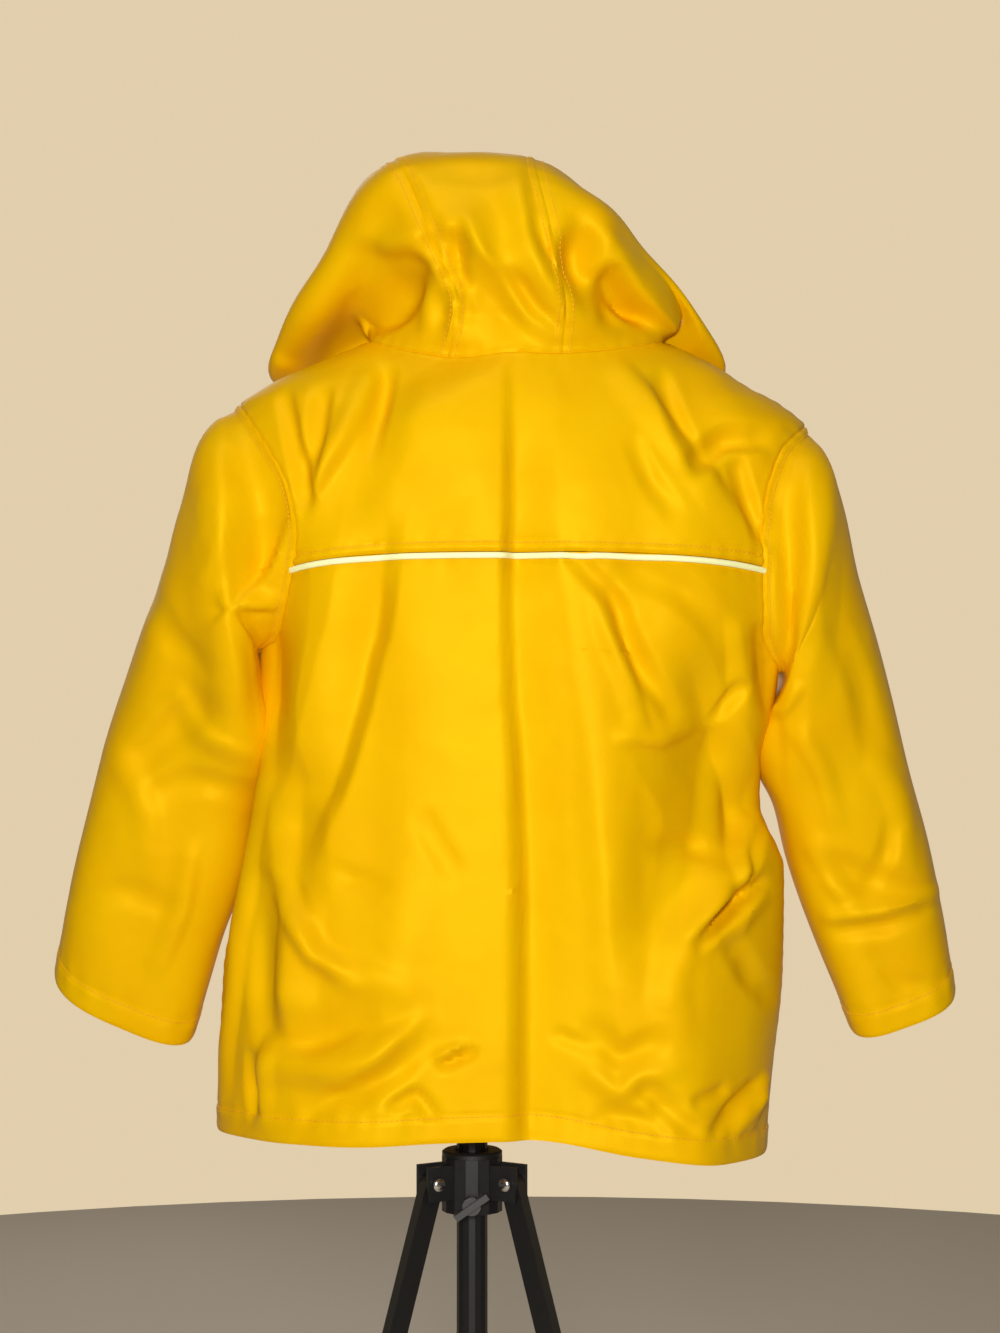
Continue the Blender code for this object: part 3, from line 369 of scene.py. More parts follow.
def uneven(count: int, cells: float = 5.0) -> Array:
    """Places from 0 to 1 that stand closer together at both ends, where seams run.

    Args:
        count: how many places.
        cells: how many cells the crowding takes.

    Returns:
        The places, rising.
    """
    at = np.arange(count - 1)
    steps = 1 - CROWDING * np.exp(-at / cells) - CROWDING * np.exp(-(at[-1] - at) / cells)
    places = np.concatenate([[0], np.cumsum(steps)])
    return places / places[-1]


def regrid(grid: Array, rows: Array, columns: Array) -> Array:
    """A grid read again at uneven rows and columns.

    Args:
        grid: the grid.
        rows: where its rows are read, from 0 to 1.
        columns: where its columns are.

    Returns:
        The new grid.
    """
    for axis, places in ((0, rows), (1, columns)):
        at = places * (grid.shape[axis] - 1)
        low = np.clip(np.floor(at).astype(int), 0, grid.shape[axis] - 2)
        share = (at - low).reshape([-1 if a == axis else 1 for a in range(grid.ndim)])
        grid = np.take(grid, low, axis) * (1 - share) + np.take(grid, low + 1, axis) * share
    return grid


# ---- folds
@dataclass(frozen=True)
class Fold:
    """A ridge or trough along a line on the cloth, seen from the back or the front."""

    path: tuple[Pair, ...]  # (x, z) points down the line
    rise: tuple[float, ...]  # how far it stands out at each point, below zero for a trough
    plus: float  # reach of its slope on the side that is +X where the path runs down
    minus: float  # reach of its slope on the other side
    crisp: float = 0.3  # 0 for a round crest, 1 for a pressed one
    face: Face = Face.BACK  # the side of the coat that it lies on
    spread: float = 1.0  # how many times wider it is at its end than at its start
    round: float = 0.0018  # radius of a pressed crest

    def line(self) -> tuple[Array, Array]:
        """The path as a smooth line.

        Returns:
            Its points, and the rise at each of them.
        """
        points = np.array(self.path)
        if len(points) == 2:
            return points, np.array(self.rise)
        stops = stops_along(points)
        at = np.linspace(0, stops[-1], 4 * len(points))
        return through(stops, points, at), np.interp(at, stops, self.rise)

    def height(self, x: Array, z: Array, facing: Array) -> Array:
        """How far the fold lifts the cloth at each point.

        Args:
            x: the points' x.
            z: their heights.
            facing: the y part of the cloth's normal there.

        Returns:
            The lift, zero away from the fold.
        """
        points, rises = self.line()
        nearest = np.full(x.shape, np.inf)
        shape = np.zeros(x.shape)
        ends = self.plus + self.minus
        chord = (points[-1] - points[0]) / ((points[-1] - points[0]) ** 2).sum()
        stops = np.maximum.accumulate((points - points[0]) @ chord)
        place = (x - points[0, 0]) * chord[0] + (z - points[0, 1]) * chord[1]
        wider = 1 + (self.spread - 1) * np.clip(place, 0, 1)
        for i, (start, end) in enumerate(zip(points[:-1], points[1:])):
            along = end - start
            length = float(np.hypot(*along))
            along = along / length
            aside = np.array([-along[1], along[0]])
            run = (x - start[0]) * along[0] + (z - start[1]) * along[1]
            off = (x - start[0]) * aside[0] + (z - start[1]) * aside[1]
            before, after = np.maximum(-run, 0), np.maximum(run - length, 0)
            past = (before if i == 0 else 0) + (after if i == len(points) - 2 else 0)
            corner = (0 if i == 0 else before) + (0 if i == len(points) - 2 else after)
            reach = np.hypot(off, corner)
            distance = np.hypot(reach, past)
            size = wider * np.where(off > 0, self.plus, self.minus)
            share = np.clip((np.hypot(reach, self.round) - self.round) / size, 0, 1)
            here = distance < nearest
            profile = ((1 - self.crisp) * bell(share) + self.crisp * (1 - share)) * bell(past / ends)
            shape = np.where(here, profile, shape)
            nearest = np.where(here, distance, nearest)
        lift = shape * np.interp(place, stops, rises)
        return lift * np.clip(facing * self.face.value / FULL_FACING, 0, 1)


def read_folds(text: str, face: Face = Face.BACK) -> tuple[Fold, ...]:
    """Folds from lines of text, all in millimetres.

    Args:
        text: on each line plus, minus, a crispness from 0 to 9, for some folds ten times
            their spread, a colon, and then x, z and rise for each point, with commas
            between the points.
        face: the side of the coat that they lie on.

    Returns:
        The folds.
    """
    folds = []
    for line in text.strip().splitlines():
        sizes, places = line.split(":")
        plus, minus, crisp, spread = (float(word) for word in (sizes + " 10").split()[:4])
        rows = [[float(word) / 1000 for word in place.split()] for place in places.split(",")]
        folds.append(Fold(tuple((x, z) for x, z, _ in rows), tuple(rise for _, _, rise in rows),
                          plus / 1000, minus / 1000, crisp / 10, face, spread / 10))
    return tuple(folds)


def lift_of(folds: Iterable[Fold], points: Array, normals: Array) -> Array:
    """The lift of several folds together.

    Args:
        folds: the folds.
        points: where they are read.
        normals: the cloth's normals there.

    Returns:
        The lift at each point.
    """
    total = np.zeros(points.shape[:-1])
    for fold in folds:
        total += fold.height(points[..., 0], points[..., 2], normals[..., 1])
    return total


@dataclass(frozen=True)
class Undulation:
    """A slow waviness of the cloth, longer down the coat than across it."""

    height: float = 0.0006  # about how far it moves the cloth
    across: float = 0.045  # its shortest wave across the coat
    down: float = 0.110  # its shortest wave down it
    deeper: float = 1.5  # how much longer its waves are through the coat than across it
    slowest: float = 0.35  # the longest wave's frequency, as a share of the shortest one's
    waves: int = 22  # how many waves are mixed
    seed: int = 7  # picks their directions

    def lift(self, points: Array) -> Array:
        """The waviness at some points.

        Args:
            points: the points.

        Returns:
            How far it lifts each of them.
        """
        dice = np.random.default_rng(self.seed)
        total = np.zeros(points.shape[:-1])
        for _ in range(self.waves):
            way = dice.normal(size=3)
            way = way / np.linalg.norm(way) * 2 * math.pi * dice.uniform(self.slowest, 1.0)
            way = way / np.array([self.across, self.across * self.deeper, self.down])
            total += np.sin(points @ way + dice.uniform(0, 2 * math.pi))
        return total * self.height / math.sqrt(self.waves / 2)


# Folds that shape the whole coat, as its solids have them.
BODY_FOLDS = read_folds("""
50 26 0: -148 800 -10,-118 680 -12
50 45 0: 125 900 4,135 520 6
45 50 0: -130 900 4,-140 520 6
20 24 0: -125 655 6,-158 690 5
45 40 0: 80 640 4,92 500 10
45 45 0: -110 640 4,-115 490 9
30 30 0: 85 1010 -5,105 950 -6
26 30 0: -125 1010 -4,-150 960 -6
""") + read_folds("""
30 34 0: 100 800 -4,118 500 -14
32 30 0: -95 820 -4,-122 490 -13
26 26 0: 62 700 2,66 500 8
26 26 0: -60 700 2,-68 500 8
""", Face.FRONT)
SLEEVE_FOLDS = read_folds("""
50 18 0: 189 965 6,180 790 10
20 40 0: -208 960 4,-212 800 5
16 16 0: 215 800 -5,245 775 -4
14 14 0: -235 690 -4,-290 672 -4
""")
HOOD_FOLDS = read_folds("""
14 14 0: 40 1112 -8,18 1092 -6
24 30 0: 100 1150 5,140 1080 6
22 30 0: -66 1125 8,-118 1065 7
18 18 0: -62 1100 -9,-80 1072 -8
""")

# Smaller creases, pressed in by packing or drawn in by the way the coat hangs.
BODY_CREASES = read_folds("""
6 27 7: -6 1012 -3.1,-6 963 -6.2,-6 908 -6.2
6 31 8 20: -5 903 -6,-6 863 -7,-8 816 -8.5,-12 776 -10,-14 736 -11.5,-16 677 -12.5,\
    -16 610 -13,-16 531 -13
20 27 2: -55 863 2.3,-63 810 3.1,-67 743 3.9,-71 676 3.9,-75 609 2.3
8 6 5: 148 1011 -3.9,141 978 -6.2,134 950 -4.7
11 6 5: 123 1010 -5.4,127 978 -7,134 948 -4.7
12 7 4: 93 1026 3.1,107 990 6.2,126 959 5.4,138 942 1.6
9 8 5: 82 1027 -5.4,85 1006 -7.8,90 983 -3.1
60 29 6 10: 87 987 2,67 994 6,45 1004 8,22 1018 9,-3 1033 8,-27 1048 5
17 8 5: -86 1026 3.1,-108 1000 5.4,-130 972 6.2,-148 945 4.7,-165 919 2.3
11 7 5: -110 1022 -4.7,-120 994 -7.8,-131 974 -6.2
9 13 4: -134 972 -6.2,-151 985 -10.1,-168 986 -6.2
9 7 4: -89 977 -2.3,-98 958 -3.9,-109 942 -2.3
9 5 5: -161 965 -3.9,-168 942 -6.2,-173 922 -3.9
28 12 9 10: 83 903 -5,86 876 -10,90 853 -12,95 838 -12,100 815 -12,107 790 -12,113 769 -12,\
    120 749 -11,126 735 -6
16 24 7 8: 141 744 -6,142 722 -10,140 703 -8,138 682 -4,135 665 -1
17 34 8 6: 165 884 -6,164 843 -13,165 809 -14,161 779 -7
11 11 0: 50 722 -1.9,39 703 -1.9
5 6 6: 165 755 3.1,173 707 5.4,178 672 7,182 654 7,186 614 6.2,192 571 4.7,195 529 1.6
12 20 8: 140 657 4.7,143 637 7,145 613 7.8,145 596 4.7
12 16 3: 163 670 -4.7,164 639 -7.8,164 615 -8.5,161 595 -4.7
9 9 6: 152 686 2.3,142 667 6.2,134 655 8.5,124 639 8.5,112 631 6.2,104 623 2.3
9 9 4: 160 687 -1.6,144 681 -3.1,138 668 -3.1
8 23 5: 150 582 -3.1,131 580 -7,110 587 -8.5,93 594 -7,80 595 -3.1
15 11 3: 118 632 1.6,89 626 3.1,68 619 1.6
16 13 3: 155 564 4.7,118 565 7,84 573 7,64 587 3.9
9 13 6: 58 583 -3.9,72 568 -7.8,85 558 -7.8,104 547 -5.4,118 543 -2.3
6 9 4: 158 575 3.1,161 551 4.7,163 531 3.1
6 6 5: 170 565 -3.9,170 545 -6.2,169 533 -4.7
3 4 6: 42 574 3.1,31 579 3.9
5 4 5: 39 569 -4.7,26 575 -3.9
5 5 6: 70 543 -4.7,60 548 -6.2,51 538 -3.9
8 7 4: 124 536 -2.3,112 544 -3.9,97 544 -2.3
8 9 2: 112 694 -1.6,103 690 -2.8,89 687 -1.6
7 8 4: -48 903 -3.1,-62 887 -4.7,-76 872 -3.1
7 11 5: -69 878 -3.1,-78 856 -7,-90 831 -7.8,-108 806 -3.9
12 5 4: -65 879 2.3,-71 856 4.7,-81 831 4.7,-90 800 3.1
13 13 3: -90 895 -3.1,-117 883 -5.4,-137 863 -3.1
63 16 9 8: -144 790 -9,-154 770 -18,-162 752 -22,-167 736 -22,-163 713 -18,-157 693 -9
5 13 8: -86 784 4.7,-107 782 5.4,-124 787 3.1
11 9 3: -112 712 -3.9,-131 713 -5.4,-145 708 -3.1
9 12 8: -159 850 3.9,-162 831 6.2,-165 811 4.7
13 5 4: -179 850 -3.1,-181 831 -4.7,-179 812 -3.1
5 5 4: -160 816 -3.9,-154 806 -4.7,-151 800 -2.3
5 5 8: -174 727 6.2,-165 710 7.8,-160 690 4.7
7 5 7: -172 683 -6.2,-158 672 -12.4,-145 662 -12.4,-130 648 -4.7
5 11 5: -169 672 3.9,-156 661 5.4,-143 650 3.1
8 7 5: -159 692 3.1,-148 678 5.4,-127 659 2.3
11 11 3: -157 636 -3.9,-166 622 -6.2,-175 613 -3.9
9 11 4: -63 586 -3.9,-77 573 -6.2,-94 580 -3.9
7 5 3: -40 586 -2.8,-55 580 -2.3
9 8 5: -61 559 3.1,-74 550 4.7,-88 558 3.9,-107 564 1.6
7 8 4: -94 550 -4.3,-106 542 -3.7
7 7 4: -72 534 -3.7,-85 532 -4.7,-96 529 -3.1
6 7 4: -103 537 -4,-119 525 -3.4
5 5 5: -127 543 -3.9,-140 547 -3.9
6 5 6: -165 546 -3.9,-148 534 -6.2,-138 524 -3.9
5 5 7: -169 539 4,-160 529 5.6,-153 520 3.4
5 5 7: -177 548 3.9,-171 534 5.4,-163 521 3.4
17 15 2: -113 637 2.3,-109 615 3.9,-110 601 2.3
""")
FRONT_CREASES = read_folds("""
20 14 3: 85 985 2,70 930 3,60 870 1
14 20 3: -90 975 2,-78 925 3,-62 865 1
14 18 3: 110 930 -2,120 880 -4,135 840 -3
18 14 3: -125 925 -2,-135 870 -4,-155 830 -3
14 10 4: 148 820 2,120 790 3,85 770 1
14 10 4: -160 800 2,-130 775 3,-95 760 1
20 16 2: 50 860 1,46 760 2,52 660 1
16 20 2: -48 850 1,-45 750 2,-50 650 1
16 14 3: 150 690 2,130 640 3,125 570 1
14 16 3: -158 680 2,-140 620 3,-135 560 1
14 14 2: 40 590 -1,70 560 -2,100 550 -1
14 14 2: -36 610 -1,-70 585 -2,-110 580 -1
""", Face.FRONT)
SLEEVE_CREASES = read_folds("""
29 5 6 10: 193 987 2,191 956 4,190 923 5,187 876 5,185 834 5,183 797 3
38 5 9 6: 155 973 -6,149 953 -14,150 936 -19,157 916 -19,166 896 -14,179 883 -6
4 9 7 10: 184 876 4,171 875 7,157 874 6
11 5 6 10: 175 869 -3,171 850 -3,172 823 -3,178 796 -1
12 12 2: 244 878 -1.7,227 850 -2.7,206 836 -1.7
12 8 3: 223 809 2,209 788 3.7,188 777 2.7
11 11 2: 237 746 -2,212 753 -3.7,184 746 -3.1
15 11 2: 268 767 1.7,251 739 2.7,247 704 1.7
12 12 2: 292 669 -1.7,268 676 -2.7,240 666 -1.7
12 8 3: 219 697 2,226 662 3.1,240 628 1.7
15 15 2: 204 1001 1.7,216 967 2.7,230 933 1.7
6 25 6 10: -206 967 2,-205 935 4,-203 891 5,-201 855 5,-198 823 4,-195 801 3,-198 768 2
9 17 6 10: -183 953 -2,-188 935 -6,-191 911 -8,-193 880 -8,-195 850 -7,-195 828 -2
6 8 6 10: -186 830 -1,-187 815 -2,-185 801 -2,-187 778 -1
7 7 5 10: -181 807 3,-187 803 4,-195 814 3
6 7 5: -230 658 3.4,-254 661 5.1,-282 667 5.1,-306 674 2.5
8 6 3: -237 649 -2.5,-261 652 -3.4,-289 661 -2
8 11 3: -205 781 2.5,-218 760 4.1,-226 732 2
12 12 2: -230 850 -1.7,-245 816 -3.1,-253 781 -1.7
13 12 2: -258 767 1.7,-275 739 3.1,-278 704 1.7
8 8 2: -268 718 -1.7,-265 704 -3.1,-255 683 -2
9 9 2: -261 628 -1.7,-278 610 -2.7,-296 610 -1.7
8 11 3: -216 704 1.7,-228 683 3.1,-240 666 1.7
""")
HOOD_CREASES = read_folds("""
27 20 2: 99 1140 3.4,111 1111 5.8,127 1083 8,144 1051 5.8
29 9 5: 61 1095 -10.3,68 1083 -16.1,79 1072 -14.9,96 1065 -11.5,114 1054 -13.8,135 1043 -9.2
6 15 8: 89 1123 4.6,77 1118 8,63 1116 9.2,50 1107 6.9,40 1096 3.4
5 11 7: 56 1097 3.4,55 1081 5.8,56 1064 3.4
7 5 8: 159 1046 3.4,149 1042 3.4,144 1036 2.3
6 6 6: 50 1116 -2.3,43 1104 -4.6,38 1094 -8,28 1093 -4.6
9 4 8: 30 1124 -4.6,30 1112 -9.2,30 1098 -5.8
4 15 7: 26 1123 3.4,24 1112 5.8,21 1090 4.6,19 1067 1.7
5 5 7: 30 1090 2.9,35 1071 4.6,39 1050 2.3
8 7 5: 50 1086 -2.3,44 1067 -4.6,48 1052 -2.9
6 23 8: 47 1126 2.3,37 1127 5.8,27 1126 7.5,19 1118 7.5,12 1107 6.3,-6 1101 5.2,-15 1096 2.3
12 6 8: 12 1104 2.9,0 1090 5.2,-15 1071 6.3,-25 1062 6.3,-43 1048 3.4
11 9 4: 0 1080 -2.3,-4 1067 -4.6,-10 1056 -2.3
7 6 6: -10 1088 -4.6,-19 1075 -6.9,-31 1064 -3.4
17 5 8: -9 1167 3.4,-11 1146 5.8,-16 1126 6.9,-22 1112 7.5,-31 1093 6.9,-36 1075 3.4
5 5 6: -20 1126 -3.4,-27 1110 -6.3,-33 1095 -4.6
5 8 5: 68 1161 -2.9,59 1143 -4,49 1125 -2.9
8 15 5: -50 1129 -5.8,-46 1114 -16.1,-46 1099 -17.2,-52 1087 -9.2
4 16 8: -56 1133 3.4,-64 1119 5.8,-64 1108 3.4
6 6 7: -64 1104 3.4,-61 1097 5.8,-57 1086 2.3
6 6 5: -70 1099 -3.4,-72 1084 -5.8,-70 1070 -3.4
5 19 8: -63 1104 4.6,-72 1105 8,-84 1094 8,-97 1083 6.9,-108 1068 3.4
7 7 6: -75 1094 -8,-82 1081 -17.2,-93 1072 -16.1,-106 1065 -6.9
5 5 7: -73 1091 1.1,-76 1078 3.4,-81 1070 4.6,-96 1070 3.4,-111 1062 2.3
7 8 5: -54 1061 1.7,-72 1059 3.4,-91 1064 2.3
20 27 2: 41 1084 -4.6,20 1073 -8,-4 1058 -5.8
11 11 2: 43 1167 -1.7,15 1164 -2.9,-4 1167 -1.7
12 13 2: -46 1155 1.7,-61 1142 2.9,-80 1136 1.7
""")


# ---- edges of the cloth
def puckers(along: Array, wave: float, sway: float, drift: float) -> Array:
    """Small waves along a seam, whose length wanders a little."""
    return np.sin(along * 2 * math.pi / wave + sway * np.sin(along * drift))


@dataclass(frozen=True)
class SeamRelief:
    """How the cloth runs into a sewn seam: a dent, a swell, and a dent under the topstitch."""

    dent: float = 0.0008  # depth of the ditch at the seam
    dent_width: float = 0.0016  # its width
    swell: float = 0.0005  # height of the allowance that shows through beside it
    swell_width: float = 0.0022  # its width
    stitch_at: float = 0.0060  # distance of the topstitch from the seam
    stitch_dent: float = 0.0005  # how far the thread pulls the cloth in
    pucker: float = 0.00022  # height of the small waves along the seam
    pucker_at: float = 0.004  # distance of the waves from the seam
    pucker_width: float = 0.006  # width of their band
    wave: float = 0.013  # their length
    wander: Pair = (2.0, 41.0)  # how far and how fast that wanders, in radians

    def lift(self, off: Array, along: Array) -> Array:
        """The relief near the seam.

        Args:
            off: distances off the seam.
            along: distances along it.

        Returns:
            The lift at each point.
        """
        waves = puckers(along, self.wave, *self.wander) * hump(off - self.pucker_at, self.pucker_width)
        return (self.swell * hump(off - self.stitch_at * 0.5, self.swell_width)
                - self.dent * hump(off, self.dent_width)
                - self.stitch_dent * hump(off - self.stitch_at, STITCH_WIDTH) + self.pucker * waves)


@dataclass(frozen=True)
class HemRelief:
    """A hem that is turned up and stitched once: thicker below the stitches."""

    deep: float = 0.017  # height of the hem
    thick: float = 0.0007  # how far the double cloth stands out
    fade: float = 0.002  # distance over which it does so, at the stitches
    edge_width: float = 0.0012  # distance over which the fold rounds off at the edge
    stitch_dent: float = 0.0008  # how far the thread pulls the cloth in
    pucker: float = 0.00035  # height of the small waves along the stitches
    pucker_width: float = 0.009  # width of their band
    wave: float = 0.017  # their length
    wander: Pair = (2.3, 37.0)  # how far and how fast that wanders, in radians

    def lift(self, off: Array, along: Array) -> Array:
        """The relief near the hem.

        Args:
            off: distances off the edge.
            along: distances along it.

        Returns:
            The lift at each point.
        """
        share = np.clip((self.deep + self.fade / 2 - off) / self.fade, 0, 1)
        waves = puckers(along, self.wave, *self.wander) * hump(off - self.deep, self.pucker_width)
        return (self.thick * share * share * (3 - 2 * share)
                - self.stitch_dent * hump(off - self.deep, STITCH_WIDTH)
                + self.pucker * waves - self.thick * hump(off, self.edge_width))


Relief = SeamRelief | HemRelief


@dataclass
class StitchRow:
    """Where a row of stitches runs: places on the cloth, and its outward normals there."""

    points: Array
    normals: Array


@dataclass(frozen=True)
class Cut:
    """What a piece of cloth stands for, and how it is cut and held."""

    node: str  # the solid that it stands for
    flat: Pair  # width and length of the cut
    area: float  # area of the cut
    rests_on: tuple[str, ...]  # the pieces that it rests on
    held: str = "hung"  # how it is held


@dataclass
class Cloth:
    """A piece of cloth as a grid of outer points, with a wall of its own."""

    name: str
    points: Array
    closed: bool = False  # whether its columns run round a tube
    outward: Array | None = None  # a point inside the coat that the normals lead away from
    thick: float = 0.0016  # the wall
    reliefs: dict[Edge, Relief] = field(default_factory=dict)  # what shapes the cloth along some of its edges
    ways: Array | None = None  # the directions in which they do, where they aren't the cloth's own normals
    normals: Array = field(init=False)

    def __post_init__(self) -> None:
        """Finds the normals, then shapes the cloth along its edges."""
        self.find_normals()
        lift = np.zeros(self.points.shape[:2])
        for edge, relief in self.reliefs.items():
            off, along = self.distances(edge)
            lift += relief.lift(off, along)
        self.points = self.points + (self.normals if self.ways is None else self.ways) * lift[..., None]
        self.find_normals()

    def find_normals(self) -> None:
        """Normals by differences, turned away from the inside."""
        inside = self.points.mean(axis=1, keepdims=True) if self.outward is None else self.outward
        self.normals = turned_out(grid_normals(self.points, self.closed), self.points - inside)

    def distances(self, edge: Edge) -> tuple[Array, Array]:
        """Where each point lies beside an edge.

        Args:
            edge: the edge.

        Returns:
            How far off it each point is, and how far along it.
        """
        lines = edge.inwards(self.points)
        off, along = np.zeros((2, *self.points.shape[:2]))
        edge.inwards(off)[1:] = np.cumsum(np.linalg.norm(np.diff(lines, axis=0), axis=-1), axis=0)
        edge.inwards(along)[:] = stops_along(lines[0])
        return off, along

    def row(self, edge: Edge, off: float) -> StitchRow:
        """A line of stitches beside an edge.

        Args:
            edge: the edge.
            off: how far off it they run.

        Returns:
            The row.
        """
        distance, _ = self.distances(edge)
        lines, normals, far = edge.inwards(self.points), edge.inwards(self.normals), edge.inwards(distance)
        low = np.clip((far < off).sum(axis=0) - 1, 0, far.shape[0] - 2)
        columns = np.arange(far.shape[1])
        start, end = far[low, columns], far[low + 1, columns]
        share = np.clip((off - start) / np.maximum(end - start, TINY), 0, 1)[:, None]
        points = lines[low, columns] * (1 - share) + lines[low + 1, columns] * share
        ups = normals[low, columns] * (1 - share) + normals[low + 1, columns] * share
        if self.closed and edge.value[0] == 0:
            points, ups = np.concatenate([points, points[:1]]), np.concatenate([ups, ups[:1]])
        return StitchRow(points, unit(ups))

    def build(self, cut: Cut, pulled: Sequence[Edge] = (), lined: bool = True) -> None:
        """Makes the closed wall in coated cloth, hides the solid that it stands for, and logs it.

        Args:
            cut: what it stands for and how it is cut.
            pulled: edges that are drawn back a little from their seam.
            lined: whether the knitted inner face shows on its inside.
        """
        skins = [self.points.copy(), self.points - self.normals * self.thick]
        for edge in pulled:
            for skin in skins:
                lines = edge.inwards(skin)
                lines[0] += unit(lines[1] - lines[0]) * SEAM_GAP / 2
        rows, columns = self.points.shape[:2]
        count = rows * columns
        number = np.arange(count).reshape(rows, columns)
        wrap = np.concatenate([number, number[:, :1]], axis=1) if self.closed else number
        a, b, c, d = wrap[:-1, :-1], wrap[:-1, 1:], wrap[1:, 1:], wrap[1:, :-1]
        skin = np.stack([a, b, c, d], axis=-1).reshape(-1, 4)
        parts = [skin, skin[:, ::-1] + count]
        rims = [(wrap[0, 1:], wrap[0, :-1]), (wrap[-1, :-1], wrap[-1, 1:])]
        if not self.closed:
            rims += [(wrap[:-1, 0], wrap[1:, 0]), (wrap[1:, -1], wrap[:-1, -1])]
        parts += [np.stack([p, q, q + count, p + count], axis=-1) for p, q in rims]
        faces = np.concatenate(parts)
        if (grid_normals(self.points, self.closed) * self.normals).sum(axis=-1).mean() < 0:
            faces = faces[:, ::-1]
        made = mesh_object(self.name, np.concatenate([s.reshape(-1, 3) for s in skins]), faces)
        off, _ = self.distances(Edge.FIRST_ROW)
        aside, _ = self.distances(Edge.FIRST_COLUMN)
        chart_on(made, np.stack([aside, off], axis=-1).reshape(-1, 2)[faces.reshape(-1) % count])
        made.data.materials.append(material(COATED))
        if lined:
            made.data.materials.append(material(KNIT_BACK))
            index = np.zeros(len(faces), dtype=np.int32)
            index[len(skin):2 * len(skin)] = 1
            made.data.polygons.foreach_set("material_index", index)
        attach(made, "coat_on_pole")
        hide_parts(cut.node)
        report(made)


def chart_on(made: Object, corners: Array) -> None:
    """Lays the map that a knitted finish reads, in metres, from a place for every corner of its faces."""
    chart = made.data.uv_layers.new(name="cloth")
    chart.data.foreach_set("uv", corners.astype(np.float32).reshape(-1))


def mesh_object(name: str, points: Array, faces: Array | Sequence[Sequence[int]],
                smooth_angle: float = 50.0, placed: bool = False) -> Object:
    """An object from points and faces, shaded smooth.

    Args:
        name: the object's name.
        points: the points, in the frame that the coat is drawn in.
        faces: their numbers, face by face.
        smooth_angle: edges that turn more than this stay sharp, in degrees.
        placed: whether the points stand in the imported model's frame already.

    Returns:
        The object, linked to the scene, with its place in its mesh.
    """
    mesh = bpy.data.meshes.new(name)
    points = np.asarray(points, float) + (0.0 if placed else SHIFT)
    listed = faces.tolist() if isinstance(faces, np.ndarray) else [list(face) for face in faces]
    mesh.from_pydata(points.tolist(), [], listed)
    mesh.shade_smooth()
    mesh.set_sharp_from_angle(angle=math.radians(smooth_angle))
    made = bpy.data.objects.new(name, mesh)
    bpy.context.scene.collection.objects.link(made)
    return made


def report(made: Object) -> None:
    """Logs a finished piece: its faces, and the area of one of its two skins."""
    area = sum(face.area for face in made.data.polygons) / 2
    LOG.info("%s: %d faces, %.4f m2", made.name, len(made.data.polygons), area)


def coat_shift() -> Array:
    """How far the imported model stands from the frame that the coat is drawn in."""
    low, high = (np.array(corner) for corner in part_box("pole"))
    return np.array([(low[0] + high[0]) / 2 - STAND_X, (low[1] + high[1]) / 2, 0.0])


SHIFT = coat_shift()


